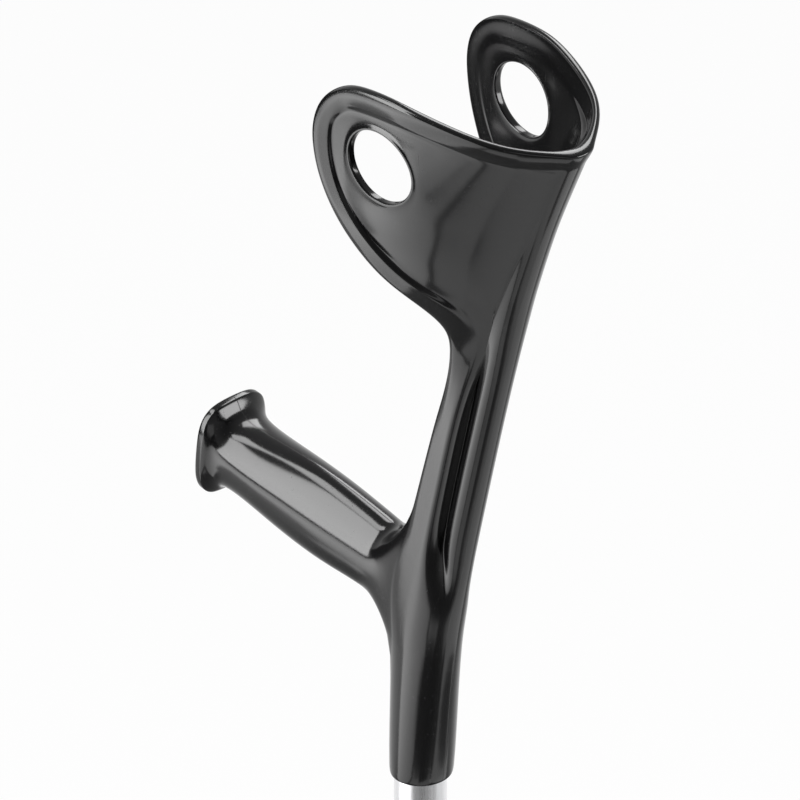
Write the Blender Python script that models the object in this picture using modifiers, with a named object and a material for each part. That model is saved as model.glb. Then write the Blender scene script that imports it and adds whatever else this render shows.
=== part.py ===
"""Open-cuff forearm crutch: a moulded cuff, neck, grip and socket on a height-adjustable tube leg.

Frame: metres, +Z up, +X the way the grip points, +Y the user's left. The origin is the centre of the
rubber foot's sole on the tube axis, with the leg pushed in to its shortest setting.
"""
import math

import bmesh
import bpy
from mathutils import Matrix, Vector

MM = 0.001
FIT_GAP = 0.3 * MM

# Upper tube, pressed into the moulding's socket
UPPER_TUBE_DIAMETER = 22.0 * MM
UPPER_TUBE_WALL = 1.2 * MM
UPPER_TUBE_BOTTOM = 90.0 * MM
SOCKET_MOUTH = 676.0 * MM
SOCKET_BORE_DEPTH = 66.0 * MM
SOCKET_WALL = 2.4 * MM

# Row of height holes, at the back of the upper tube
HOLE_COUNT = 13
HOLE_PITCH = 20.0 * MM
HOLE_DIAMETER = 7.8 * MM
LOWEST_HOLE_ABOVE_END = 35.0 * MM

# Lower tube with its guide bush
SLIDE_GAP = 0.3 * MM
LOWER_TUBE_WALL = 1.2 * MM
LOWER_TUBE_ABOVE_BUTTON = 56.0 * MM
BUSH_PLUG_LENGTH = 14.0 * MM
BUSH_FLANGE = 3.0 * MM
BUSH_WALL = 2.0 * MM
BUSH_CHAMFER = 1.0 * MM
TUBE_END_CHAMFER = 0.3 * MM

# Snap button and the leaf spring behind it
BUTTON_DIAMETER = 7.0 * MM
BUTTON_STAND_OUT = 2.2 * MM
BUTTON_DOME = 1.6 * MM
BUTTON_BASE_DIAMETER = 9.0 * MM
BUTTON_BASE_THICKNESS = 1.0 * MM
BUTTON_STEPS = 24
SPRING_WIDTH = 7.0 * MM
SPRING_THICKNESS = 0.6 * MM
SPRING_LEG = 48.0 * MM
SPRING_TAIL = 22.0 * MM
SPRING_BEND_RADIUS = 2.4 * MM
SPRING_BEND_STEPS = 8

# Sleeve over the lower end of the upper tube
COLLAR_WALL = 2.4 * MM
COLLAR_HEIGHT = 24.0 * MM
COLLAR_LIP = 6.0 * MM
COLLAR_ROUNDING = 1.5 * MM

# Rubber foot with a steel washer under the tube's end
FERRULE_HEIGHT = 58.0 * MM
FERRULE_SOLE_DIAMETER = 42.0 * MM
FERRULE_SOLE_EDGE = 7.0 * MM
FERRULE_FLOOR = 8.0 * MM
FERRULE_WALL = 3.2 * MM
FERRULE_BEAD = 1.2 * MM
FERRULE_BEAD_HEIGHT = 7.0 * MM
FERRULE_FLARE_HEIGHT = 26.0 * MM
FERRULE_ROUNDING = 1.2 * MM
SOLE_GROOVE_COUNT = 2
SOLE_GROOVE_PITCH = 5.0 * MM
SOLE_GROOVE_WIDTH = 2.0 * MM
SOLE_GROOVE_DEPTH = 1.6 * MM
WASHER_THICKNESS = 1.5 * MM

ROUND_STEPS = 28
HOLE_STEPS = 12

# Sizes that follow from those above
UPPER_RADIUS = UPPER_TUBE_DIAMETER / 2
UPPER_BORE = UPPER_RADIUS - UPPER_TUBE_WALL
LOWER_RADIUS = UPPER_BORE - SLIDE_GAP
LOWER_BORE = LOWER_RADIUS - LOWER_TUBE_WALL
UPPER_TUBE_TOP = SOCKET_MOUTH + SOCKET_BORE_DEPTH - FIT_GAP
LOWER_TUBE_BOTTOM = FERRULE_FLOOR + FIT_GAP + WASHER_THICKNESS + FIT_GAP
LOWEST_HOLE = UPPER_TUBE_BOTTOM + LOWEST_HOLE_ABOVE_END
BUTTON_HEIGHT = LOWEST_HOLE + (HOLE_COUNT - 1) * HOLE_PITCH
LOWER_TUBE_TOP = BUTTON_HEIGHT + LOWER_TUBE_ABOVE_BUTTON
BUTTON_TIP = UPPER_RADIUS + BUTTON_STAND_OUT
BUTTON_BASE_TOP = math.sqrt((LOWER_BORE - FIT_GAP) ** 2 - (BUTTON_BASE_DIAMETER / 2) ** 2)

# The moulding is drawn in millimetres from the centre of its socket mouth, and scaled by MM.
SOCKET_RADIUS = (UPPER_RADIUS + FIT_GAP + SOCKET_WALL) / MM
SOCKET_EDGE_ROUNDING = 2.2
NECK_FRONT_ROUNDING = 1.5
CUFF_WALL = 3.0
RIM_BEAD = 2.0
RIM_BEAD_INSET = 2.6
RIM_STEP_INSET = 6.8
RIM_STEP_SINK = 0.7
RIM_INSIDE_SHARE = 0.5
RIDGE_RADIUS = 7.8
WING_CENTRE_X = -7.0
WING_FLARE = 0.0012
WING_HOLE_X = -19.5
WING_HOLE_Z = 314.2
WING_HOLE_DIAMETER = 33.4
WING_HOLE_LIP = 0.7
GRIP_ROOT_X = 12.8
GRIP_ROOT_Z = 93.6
GRIP_RISE = math.radians(7.9)

# Height of the wings' crest, and the height that the cuff begins at. What the tables below give above
# the cuff's foot is stretched from the crest that they are drawn to, up to this one.
WING_CREST = 350.8
CUFF_FOOT = 222.0

# Side-view outlines of the moulding as (height, x) pairs
BACK_OUTLINE = (
    (0, -SOCKET_RADIUS - 0.4), (12, -SOCKET_RADIUS - 1.6), (33, -17.1), (62, -19.8), (92, -24.6),
    (113, -29.4), (146, -37.2), (177, -44.6), (203, -51.2), (219, -55.4), (236, -60.2), (253, -65.2),
    (269, -70.6), (287, -76.8), (304, -83.4), (322, -90.8), (338, -97.6),
)
FRONT_OUTLINE = (
    (0, SOCKET_RADIUS - 0.8), (60, SOCKET_RADIUS - 0.8), (82, 11.8), (100, 7.6), (127, -3.4),
    (154, -12.4), (174, -18.0), (191, -23.0), (207, -28.0), (222, -36.0), (237, -47.0), (249, -54.0),
    (263, -60.5), (279, -67.0), (300, -76.0), (318, -83.4), (338, -91.8),
)
# How far the ridge stands out behind the cuff's wall, by height
RIDGE_STAND_OUT = ((196, 6.5), (222, 5.6), (242, 5.0), (276, 4.4), (300, 3.8), (318, 3.0), (338, 2.2))
# Front edge of the wing as (height, x), from the neck to the corner under its top edge
WING_FRONT = (
    (191, -24.5), (207, -28.5), (218, -30.4), (229, -34.4), (238, -35.0), (248, -28.4), (261, -11.2),
    (277, 5.4), (293, 14.6), (307, 18.8), (320, 19.8), (332, 17.2), (339, 12.6), (344, 6.0),
)
# Half-width of the cuff, and how pointed its level section is at the back, by height
CUFF_HALF_WIDTH = (
    (196, 13.5), (222, 17.5), (236, 23.5), (248, 31.0), (261, 37.4), (277, 41.2), (300, 43.2),
    (318, 43.6), (337, 43.2), (352, 42.4),
)
CUFF_POINT = ((242, 1.34), (276, 1.28), (300, 1.18), (338, 1.02))
# How full that section is beside the back, by height
CUFF_FULLNESS = ((276, 1.3), (318, 1.38), (338, 1.6))
# Height of the wing's top edge by x, level over its crest
WING_CREST_X = -31.0
WING_TOP = (
    (-100.0, 338.4), (-98, 339.0), (-86.5, 341.0), (-71.4, 344.8), (-52.6, 349.0),
    (WING_CREST_X, 350.8), (WING_CREST_X + 8, 350.8), (-7, 349.0), (1, 346.8), (6.5, 343.6),
)
# Half-width of the socket and of the neck's front part by height
SOCKET_HALF_WIDTH = ((0, SOCKET_RADIUS), (33, SOCKET_RADIUS - 0.2), (62, SOCKET_RADIUS - 1.0))
NECK_HALF_WIDTH = ((92, 13.0), (113, 13.2), (154, 13.2), (207, 13.6), (222, 14.6))

# Grip sections: distance from the root, half-height up and down, half-width, squareness, top taper
GRIP_SECTIONS = (
    (7.0, 18.1, 17.7, 11.6, 2.2, 0.05), (20.0, 19.2, 19.0, 12.8, 2.3, 0.05),
    (40.0, 20.2, 20.3, 13.9, 2.4, 0.05), (62.0, 19.3, 19.5, 14.3, 2.4, 0.05),
    (82.0, 16.6, 17.1, 14.8, 2.2, 0.05), (95.0, 16.0, 16.8, 14.8, 2.3, 0.07),
    (99.8, 18.2, 18.4, 15.6, 2.6, 0.09), (102.0, 21.6, 22.0, 17.0, 3.0, 0.10),
    (103.4, 22.9, 23.4, 17.6, 3.2, 0.10), (106.4, 22.9, 23.4, 17.6, 3.2, 0.10),
)
GRIP_END = (107.8, 20.2, 20.4, 15.2, 3.0, 0.10)

# Which heights and columns the cage of the moulding has
SOCKET_ROWS = (3.0, 24.0, 46.0)
GRIP_WINDOW_ROWS = (66.0, 79.0, 92.0, 107.0, 121.0)
NECK_ROWS = (140.0, 163.0, 187.0, 207.0)
CUFF_ROWS = (CUFF_FOOT, 236.0, 248.0, 262.0, 278.0)
WING_WINDOW_ROWS = (294.0, 307.0, 321.0, 334.0)
GRIP_WINDOW_COLUMN = 5
TIP = 8
COLUMNS = 20
# How far the front end of each row is led down round the wing's corner
FRONT_DROP = ((278, 0.0), (294, 2.0), (307, 4.6), (321, 7.6), (334, 10.2))
# Where the rim's columns lie on the wing's wall, and its groove along the ridge
WINDOW_HALF = 21.0
SQUARE_FROM = 264.0
WALL_SHARES = (0.155, 0.265, 0.38, 0.50)
WALL_REAR_SHARE = 0.74
GROOVE_FROM_NOSE = 10.0
# The wing's front corner at the rim's step and at its bead, and the columns beside it, as (x, height)
STEP_CORNER = (16.2, 332.4)
STEP_CORNER_COLUMNS = (4.4, -2.0)
BEAD_CORNER = (12.8, 338.4)
BEAD_CORNER_COLUMNS = (6.6, 0.6)
RIM_COLUMNS = (-6.5, -16.0, -28.0, -41.5)
DRAWN_CREST = max(height for x, height in WING_TOP)
CUFF_STRETCH = (WING_CREST - CUFF_FOOT) / (DRAWN_CREST - CUFF_FOOT)


def track(stations, at):
    """Value at a position on a smooth curve through (position, value) stations."""
    if at <= stations[0][0]:
        return stations[0][1]
    if at >= stations[-1][0]:
        return stations[-1][1]
    index = max(i for i, station in enumerate(stations[:-1]) if station[0] <= at)

    def slope(i):
        low, high = max(i - 1, 0), min(i + 1, len(stations) - 1)
        return (stations[high][1] - stations[low][1]) / (stations[high][0] - stations[low][0])

    (x0, y0), (x1, y1) = stations[index], stations[index + 1]
    step = x1 - x0
    t = (at - x0) / step
    return (
        (2 * t ** 3 - 3 * t ** 2 + 1) * y0 + (t ** 3 - 2 * t ** 2 + t) * step * slope(index)
        + (3 * t ** 2 - 2 * t ** 3) * y1 + (t ** 3 - t ** 2) * step * slope(index + 1)
    )


def ease(value):
    """Smooth step from 0 to 1."""
    value = min(max(value, 0.0), 1.0)
    return value * value * (3 - 2 * value)


def mix(a, b, weight):
    return a + (b - a) * weight


def droop(height, x):
    """Rows of the cuff come down towards the back, as its top edge does."""
    share = max(height - CUFF_FOOT, 0.0) / (DRAWN_CREST - CUFF_FOOT)
    return height - share * (DRAWN_CREST - track(WING_TOP, min(x, WING_CREST_X)))


def back_height(height):
    """Height at which a row of the cuff meets its back."""
    return droop(height, WING_TOP[0][0])


def socket_section(height):
    """Half-section of the round socket, from the front centre round to the back centre."""
    front = track(FRONT_OUTLINE, height)
    back = track(BACK_OUTLINE, height)
    half = track(SOCKET_HALF_WIDTH, height)
    middle, depth = (front + back) / 2, (front - back) / 2
    angles = (0, 9, 18, 26, 34, 42, 49, 56, 63, 71, 79, 87, 95, 103, 111, 119, 127, 139, 158, 180)
    turns = [math.radians(angle) for angle in angles]
    return [(middle + depth * math.cos(turn), half * math.sin(turn)) for turn in turns]


def neck_section(height):
    """Half-section of the neck: flat front, rounded corner, side face, groove and round back ridge."""
    back = track(BACK_OUTLINE, height)
    front = track(FRONT_OUTLINE, height)
    if height > NECK_ROWS[-2]:
        front = track(WING_FRONT, height) + NECK_FRONT_ROUNDING
    half = track(NECK_HALF_WIDTH, height)
    depth = front - back
    ridge = RIDGE_RADIUS
    shape = (
        (depth, 0), (depth, 0.20 * half), (depth, 0.38 * half), (depth, 0.54 * half),
        (depth - 0.1, 0.68 * half), (depth - 0.5, 0.80 * half), (depth - 1.2, 0.89 * half),
        (depth - 2.4, 0.96 * half), (depth - 4.0, 1.00 * half), (depth - 5.8, 1.01 * half),
        (depth - 7.8, 1.01 * half), (depth - 9.8, 0.98 * half), (depth - 11.0, 0.84 * half),
        (depth - 11.6, 0.58 * half), (ridge * 1.84, 0.34 * half), (ridge * 1.62, 0.26 * half),
        (ridge * 1.42, ridge * 0.74), (ridge * 1.00, ridge * 1.12), (ridge * 0.24, ridge * 0.86),
        (-1.0, 0),
    )
    return [(back + x, y) for x, y in shape]


def wall_y(height, x):
    """Half-width of the cuff's outer wall at one x of a row."""
    half = track(CUFF_HALF_WIDTH, height)
    if x >= WING_CENTRE_X:
        return half + WING_FLARE * (x - WING_CENTRE_X) ** 2
    rear = back_height(height)
    nose = track(BACK_OUTLINE, rear) + track(RIDGE_STAND_OUT, rear)
    along = min((WING_CENTRE_X - x) / (WING_CENTRE_X - nose), 1.0)
    turn = math.acos(along ** track(CUFF_FULLNESS, rear))
    return half * math.sin(turn) ** track(CUFF_POINT, rear)


def wall_point(height, x):
    """Point of the cuff's outer wall, and its outward normal in the same row."""
    step = 0.05
    slope = (wall_y(height, x + step) - wall_y(height, x - step)) / (2 * step)
    length = math.hypot(slope, 1)
    return (x, wall_y(height, x)), (-slope / length, 1 / length)


def wall_path(height):
    """Distances along the outer wall, from the front edge back to the nose, with their x."""
    rear = back_height(height)
    nose = track(BACK_OUTLINE, rear) + track(RIDGE_STAND_OUT, rear)
    tip = track(WING_FRONT, height)
    path = [(0.0, tip)]
    last = (tip, wall_y(height, tip))
    steps = 120
    for i in range(1, steps + 1):
        x = nose + (tip - nose) * math.cos(math.pi / 2 * i / steps) ** 1.5
        here = (x, wall_y(height, x))
        path.append((path[-1][0] + math.dist(last, here), x))
        last = here
    return path


def x_along(path, distance):
    """The x where the wall path reaches a distance from the front edge."""
    for (d0, x0), (d1, x1) in zip(path, path[1:]):
        if distance <= d1:
            return x0 + (x1 - x0) * (distance - d0) / max(d1 - d0, 1e-9)
    return path[-1][1]


def edge_inset(height, inset):
    """Inset from the wing's front edge measured level, so that the rim keeps its width where it slants."""
    slope = (track(WING_FRONT, height + 2) - track(WING_FRONT, height - 2)) / 4
    return inset * min(math.hypot(1, slope), 1.5)


def wall_pair(height, x, bulge):
    """Points of the outer and the inner wall at one x of a row, both thickened by a bulge."""
    (px, py), (nx, ny) = wall_point(height, x)
    deep = CUFF_WALL + bulge * RIM_INSIDE_SHARE
    return (px + nx * bulge, py + ny * bulge), (px - nx * deep, py - ny * deep)


def cuff_section(height):
    """Half-section of the cuff: trough, inner wall, beaded front edge, outer wall, groove and ridge.

    Each point is (x, y, z). The front end of the row is led down where the wing's corner is round.
    """
    drop = track(FRONT_DROP, height)
    path = wall_path(height)
    length = path[-1][0]
    square = ease((height - SQUARE_FROM) / (WING_WINDOW_ROWS[0] - SQUARE_FROM))
    window = [WING_HOLE_X + WINDOW_HALF * share for share in (1, 1 / 3, -1 / 3, -1)]
    outer, inner = [], []
    for inset, bulge, lead in ((RIM_BEAD_INSET, RIM_BEAD, 0.97), (RIM_STEP_INSET, -RIM_STEP_SINK, 0.8)):
        level = height - drop * lead
        x = track(WING_FRONT, level) - edge_inset(level, inset)
        out, into = wall_pair(level, x, bulge)
        outer.append((*out, level))
        inner.append((*into, level))
    for i, share in enumerate(WALL_SHARES):
        x = mix(x_along(path, length * share), window[i], square)
        level = height - (0.25 * drop if i == 0 else 0.0)
        out, into = wall_pair(level, x, 0.0)
        outer.append((*out, level))
        inner.append((*into, level))
    out, into = wall_pair(height, x_along(path, length * WALL_REAR_SHARE), 0.0)
    outer.append((*out, height))
    inner.append((*into, height))
    level = height - drop
    (px, py), (nx, ny) = wall_point(level, track(WING_FRONT, level))
    tip = (px - nx * CUFF_WALL / 2, py - ny * CUFF_WALL / 2, level)
    trough = (track(FRONT_OUTLINE, back_height(height)), 0.0, height)
    ridge = ridge_points(height, x_along(path, length - GROOVE_FROM_NOSE), 0.0)
    return [trough] + inner[::-1] + [tip] + outer + ridge


def ridge_points(height, groove_x, bulge):
    """Groove, foot, flank and crest of the ridge behind the cuff's wall, thickened by a bulge."""
    rear = back_height(height)
    back = track(BACK_OUTLINE, rear)
    stand_out = track(RIDGE_STAND_OUT, rear)
    (gx, gy), (nx, ny) = wall_point(height, groove_x)
    sink = 0.3 * stand_out
    flank = min(RIDGE_RADIUS, gy * 0.9)
    gx, gy = gx - nx * sink, gy - ny * sink
    foot = (mix(gx, back, 0.42), mix(gy, flank, 0.8))
    side = (mix(back, foot[0], 0.4), 0.84 * flank)
    return [
        (gx + nx * bulge, gy + ny * bulge, height), (foot[0] - bulge * 0.7, foot[1] + bulge * 0.7, height),
        (side[0] - bulge, side[1] + bulge * 0.3, height), (back - 0.6 - bulge, 0.0, height),
    ]


def blended_row(height):
    """Cage points of one row, from the section that rules at its height."""
    to_neck = ease((height - 50.0) / 66.0)
    to_cuff = ease((height - 192.0) / 46.0)
    points = []
    cuff_part = cuff_section(height) if to_cuff > 0 else [(0.0, 0.0, height)] * COLUMNS
    for a, b, c in zip(socket_section(height), neck_section(height), cuff_part):
        x = mix(mix(a[0], b[0], to_neck), c[0], to_cuff)
        y = mix(mix(a[1], b[1], to_neck), c[1], to_cuff)
        points.append(Vector((x, y, droop(mix(height, c[2], to_cuff), x))))
    return points


def rim_row(inset, bulge, corner, corner_columns):
    """Row that follows the top edge at an inset, ending at the wing's front corner."""
    row = DRAWN_CREST - inset
    path = wall_path(row)
    length = path[-1][0]
    xs = corner_columns + RIM_COLUMNS + (x_along(path, length * WALL_REAR_SHARE),)
    outer, inner = [], []
    for i, x in enumerate(xs):
        down = inset * (1.5 if i == 0 else 1.0)
        level = track(WING_TOP, x) - down if x > WING_CREST_X else row
        out, into = wall_pair(level, x, RIM_BEAD if i == 0 else bulge)
        outer.append(Vector((*out, droop(level, x))))
        inner.append(Vector((*into, droop(level, x))))
    (px, py), (nx, ny) = wall_point(corner[1], corner[0])
    tip = Vector((px - nx * CUFF_WALL / 2, py - ny * CUFF_WALL / 2, corner[1]))
    ridge = ridge_points(row, x_along(path, length - GROOVE_FROM_NOSE), bulge)
    ends = [Vector((x, y, droop(level, x))) for x, y, level in ridge]
    trough_x = track(FRONT_OUTLINE, back_height(row)) + max(bulge, 0.0) * RIM_INSIDE_SHARE
    trough = Vector((trough_x, 0.0, back_height(row)))
    return [trough] + inner[::-1] + [tip] + outer + ends


def moulding_rows():
    """All rows of the half cage, bottom to top, each from the front centre to the back centre."""
    inset = 1 - SOCKET_EDGE_ROUNDING / SOCKET_RADIUS
    rows = [[Vector((p.x * inset, p.y * inset, 0.0)) for p in blended_row(0.0)]]
    for height in SOCKET_ROWS + GRIP_WINDOW_ROWS + NECK_ROWS + CUFF_ROWS + WING_WINDOW_ROWS:
        rows.append(blended_row(height))
    rows.append(rim_row(RIM_STEP_INSET, -RIM_STEP_SINK, STEP_CORNER, STEP_CORNER_COLUMNS))
    rows.append(rim_row(RIM_BEAD_INSET, RIM_BEAD, BEAD_CORNER, BEAD_CORNER_COLUMNS))
    return rows


def grip_ring(distance, up, down, half, squareness, taper):
    """Half ring of the grip, from its top centre down the left side to its bottom centre."""
    count = 2 * GRIP_WINDOW_COLUMN + len(GRIP_WINDOW_ROWS) - 1
    power = 2 / squareness
    centre = Vector((GRIP_ROOT_X, 0, GRIP_ROOT_Z))
    forward = Vector((math.cos(GRIP_RISE), 0, math.sin(GRIP_RISE)))
    upward = Vector((-math.sin(GRIP_RISE), 0, math.cos(GRIP_RISE)))
    ring = []
    for k in range(count + 1):
        turn = math.pi * k / count
        high, wide = math.cos(turn), math.sin(turn)
        rise = math.copysign(abs(high) ** power, high)
        width = half * wide ** power * (1 + taper * high)
        side = Vector((0, width if 0 < k < count else 0.0, 0))
        ring.append(centre + forward * distance + upward * rise * (up if rise > 0 else down) + side)
    return ring


def stretched(point):
    """Point moved to the height that the wings' real crest gives it."""
    above = max(point.z - CUFF_FOOT, 0.0)
    return Vector((point.x, point.y, point.z + above * (CUFF_STRETCH - 1)))


class Cage:
    """Collects the half cage's vertices and faces."""

    def __init__(self):
        self.mesh = bmesh.new()

    def vertices(self, points):
        return [self.mesh.verts.new(stretched(point) * MM) for point in points]

    def between(self, a, b, lift):
        """New vertex midway between two others, lifted by some millimetres."""
        return self.mesh.verts.new((a.co + b.co) / 2 + Vector((0, 0, lift * MM)))

    def face(self, *corners):
        self.mesh.faces.new(corners)

    def strip(self, low, high):
        for i in range(len(low) - 1):
            self.face(low[i], low[i + 1], high[i + 1], high[i])


def build_moulding_cage():
    """Half cage of the moulding, open at the plane of symmetry."""
    cage = Cage()
    rows = [cage.vertices(row) for row in moulding_rows()]
    grip_first = 1 + len(SOCKET_ROWS)
    grip_last = grip_first + len(GRIP_WINDOW_ROWS) - 1
    wing_first = grip_last + 1 + len(NECK_ROWS) + len(CUFF_ROWS)
    wing_last = wing_first + len(WING_WINDOW_ROWS) - 1
    inner_window = (TIP - 6, TIP - 3)
    outer_window = (TIP + 3, TIP + 6)
    for r in range(len(rows) - 1):
        for c in range(COLUMNS - 1):
            in_grip = grip_first <= r < grip_last and c < GRIP_WINDOW_COLUMN
            in_wing = wing_first <= r < wing_last and (
                inner_window[0] <= c < inner_window[1] or outer_window[0] <= c < outer_window[1]
            )
            if not in_grip and not in_wing:
                cage.face(rows[r][c], rows[r][c + 1], rows[r + 1][c + 1], rows[r + 1][c])
    close_socket_end(cage, rows[0])
    close_top_edge(cage, rows[-1])
    grip_sides(cage, rows, grip_first, grip_last)
    wing_holes(cage, rows, wing_first, wing_last, inner_window, outer_window)
    return cage.mesh


def close_socket_end(cage, row):
    """Flat end of the socket, later opened by the bore."""
    inner = cage.vertices([vertex.co / MM * 0.55 for vertex in row])
    cage.strip(inner, row)
    cage.mesh.faces.new(inner[::-1])


def close_top_edge(cage, row):
    """Rounded top edge between the outer and the inner wall, and behind the trough."""
    lift = RIM_BEAD_INSET * 0.95
    pairs = [(row[TIP - k], row[TIP + k]) for k in range(1, TIP)]
    edge = [cage.between(inner, outer, lift) for inner, outer in pairs]
    cage.face(row[TIP], row[TIP + 1], edge[0], row[TIP - 1])
    for k in range(len(pairs) - 1):
        inner, outer = pairs[k]
        cage.face(pairs[k + 1][0], edge[k + 1], edge[k], inner)
        cage.face(edge[k], edge[k + 1], pairs[k + 1][1], outer)
    inner, outer = pairs[-1]
    groove, foot, side, back = row[2 * TIP:]
    trough = row[0]
    centre = cage.between(trough, back, lift)
    corner = cage.between(trough, foot, lift)
    cage.face(inner, trough, corner, edge[-1])
    cage.face(trough, centre, corner)
    cage.face(edge[-1], corner, groove, outer)
    cage.face(corner, side, foot, groove)
    cage.face(corner, centre, back, side)


def close_grip_end(cage, ring):
    """Flat end of the flange: quads between the half outline and a spine on the plane of symmetry."""
    count = len(ring) - 1
    spine = []
    for k in range(2, count - 1):
        co = ring[k].co
        spine.append(cage.mesh.verts.new((co.x, 0.0, co.z)))
    cage.face(ring[0], ring[1], ring[2], spine[0])
    for k in range(len(spine) - 1):
        cage.face(spine[k], ring[k + 2], ring[k + 3], spine[k + 1])
    cage.face(spine[-1], ring[count - 2], ring[count - 1], ring[count])


def grip_sides(cage, rows, first, last):
    """Grip grown out of the window that the front of the neck leaves open."""
    edge = GRIP_WINDOW_COLUMN
    boundary = [rows[last][c] for c in range(edge)]
    boundary += [rows[r][edge] for r in range(last, first, -1)]
    boundary += [rows[first][c] for c in range(edge, -1, -1)]
    previous = boundary
    for section in GRIP_SECTIONS + (GRIP_END,):
        ring = cage.vertices(grip_ring(*section))
        cage.strip(previous, ring)
        previous = ring
    close_grip_end(cage, previous)


def wing_holes(cage, rows, first, last, inner_window, outer_window):
    """Lip of the wing's round hole between the windows of the inner and the outer wall."""
    outer = window_loop(rows, first, last, outer_window[0], outer_window[1])
    inner = window_loop(rows, first, last, inner_window[1], inner_window[0])
    radius = WING_HOLE_DIAMETER / 2 + WING_HOLE_LIP
    outer_lip = cage.vertices(hole_ring(0.0, radius + WING_HOLE_LIP))
    middle = cage.vertices(hole_ring(CUFF_WALL / 2, radius))
    inner_lip = cage.vertices(hole_ring(CUFF_WALL, radius + WING_HOLE_LIP))
    count = len(outer)
    for k in range(count):
        after = (k + 1) % count
        cage.face(outer[k], outer[after], outer_lip[after], outer_lip[k])
        cage.face(outer_lip[k], outer_lip[after], middle[after], middle[k])
        cage.face(middle[k], middle[after], inner_lip[after], inner_lip[k])
        cage.face(inner_lip[k], inner_lip[after], inner[after], inner[k])


def window_loop(rows, first, last, front, rear):
    """Vertices round a window, from its lower front corner up, back, down and forward again."""
    step = 1 if rear > front else -1
    loop = [rows[r][front] for r in range(first, last)]
    loop += [rows[last][c] for c in range(front, rear, step)]
    loop += [rows[r][rear] for r in range(last, first, -1)]
    loop += [rows[first][c] for c in range(rear, front, -step)]
    return loop


def hole_ring(depth, radius):
    """Ring round the hole at a depth under the outer wall, in the order of window_loop."""
    ring = []
    sides = len(WING_WINDOW_ROWS) - 1
    for k in range(4 * sides):
        turn = math.radians(-45.0 + 90.0 * k / sides)
        x = WING_HOLE_X + radius * math.cos(turn)
        z = WING_HOLE_Z + radius * math.sin(turn) / CUFF_STRETCH
        (px, py), normal = wall_point(z, x)
        ring.append(Vector((px - normal[0] * depth, py - normal[1] * depth, z)))
    return ring


def material(name, colour, roughness, metallic=0.0):
    made = bpy.data.materials.new(name)
    made.use_nodes = True
    shader = made.node_tree.nodes["Principled BSDF"]
    shader.inputs["Base Color"].default_value = (*colour, 1.0)
    shader.inputs["Roughness"].default_value = roughness
    shader.inputs["Metallic"].default_value = metallic
    return made


def clear_scene():
    for thing in list(bpy.data.objects):
        bpy.data.objects.remove(thing, do_unlink=True)


def new_collection(name):
    made = bpy.data.collections.new(name)
    bpy.context.scene.collection.children.link(made)
    return made


def add_object(name, data, collection, finish=None, location=(0, 0, 0), parent=None):
    made = bpy.data.objects.new(name, data)
    collection.objects.link(made)
    made.location = location
    made.parent = parent
    if finish:
        data.materials.append(finish)
    return made


def arc(centre, radius, start, end, steps):
    """Points of a circular arc in the (radius, height) plane, angles in degrees."""
    turns = [math.radians(mix(start, end, i / steps)) for i in range(steps + 1)]
    return [(centre[0] + radius * math.cos(t), centre[1] + radius * math.sin(t)) for t in turns]


def turned(name, profile, collection, finish, parent, location=(0, 0, 0), steps=ROUND_STEPS):
    """Solid of revolution about Z from (radius, height) points that run down its outer side."""
    mesh = bpy.data.meshes.new(name)
    count = len(profile)
    edges = [(i, i + 1) for i in range(count - 1)]
    if profile[0][0] > 0:
        edges.append((count - 1, 0))
    mesh.from_pydata([(radius, 0.0, height) for radius, height in profile], edges, [])
    made = add_object(name, mesh, collection, finish, location, parent)
    screw = made.modifiers.new("turn", "SCREW")
    screw.steps = steps
    screw.render_steps = steps
    screw.use_merge_vertices = True
    screw.merge_threshold = 0.01 * MM
    screw.use_smooth_shade = True
    return made


def tube_profile(outer, bore, bottom, top, chamfer):
    """Profile of a plain tube with chamfered outer edges."""
    return [
        (bore, top), (outer - chamfer, top), (outer, top - chamfer), (outer, bottom + chamfer),
        (outer - chamfer, bottom), (bore, bottom),
    ]


def cylinder_cutter(name, radius, length, centre, axis, collection, segments=ROUND_STEPS, turn=0.0):
    mesh = bpy.data.meshes.new(name)
    shape = bmesh.new()
    bmesh.ops.create_cone(
        shape, cap_ends=True, segments=segments, radius1=radius, radius2=radius, depth=length,
        matrix=Matrix.Rotation(turn, 4, "Z"),
    )
    shape.to_mesh(mesh)
    shape.free()
    made = add_object(name, mesh, collection, location=centre)
    made.rotation_mode = "QUATERNION"
    made.rotation_quaternion = Vector((0, 0, 1)).rotation_difference(Vector(axis))
    made.hide_render = True
    made.display_type = "WIRE"
    return made


def cut(target, cutter):
    boolean = target.modifiers.new(cutter.name, "BOOLEAN")
    boolean.operation = "DIFFERENCE"
    boolean.solver = "EXACT"
    boolean.object = cutter


def make_moulding(parts, cutters, finish, parent):
    """Cuff, neck, grip and socket: a subdivided half cage, mirrored, with the tube's bore cut in."""
    mesh = bpy.data.meshes.new("handle_moulding")
    cage = build_moulding_cage()
    bmesh.ops.recalc_face_normals(cage, faces=cage.faces[:])
    cage.to_mesh(mesh)
    cage.free()
    made = add_object("handle_moulding", mesh, parts, finish, (0, 0, SOCKET_MOUTH), parent)
    mirror = made.modifiers.new("other_side", "MIRROR")
    mirror.use_axis = (False, True, False)
    mirror.use_clip = True
    mirror.merge_threshold = 0.01 * MM
    smooth = made.modifiers.new("smooth", "SUBSURF")
    smooth.levels = 1
    smooth.render_levels = 1
    overrun = 10 * MM
    bore = cylinder_cutter(
        "socket_bore_cutter", UPPER_RADIUS + FIT_GAP, SOCKET_BORE_DEPTH + overrun,
        (0, 0, SOCKET_MOUTH + (SOCKET_BORE_DEPTH - overrun) / 2), (0, 0, 1), cutters,
    )
    cut(made, bore)
    mesh.shade_smooth()


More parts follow.
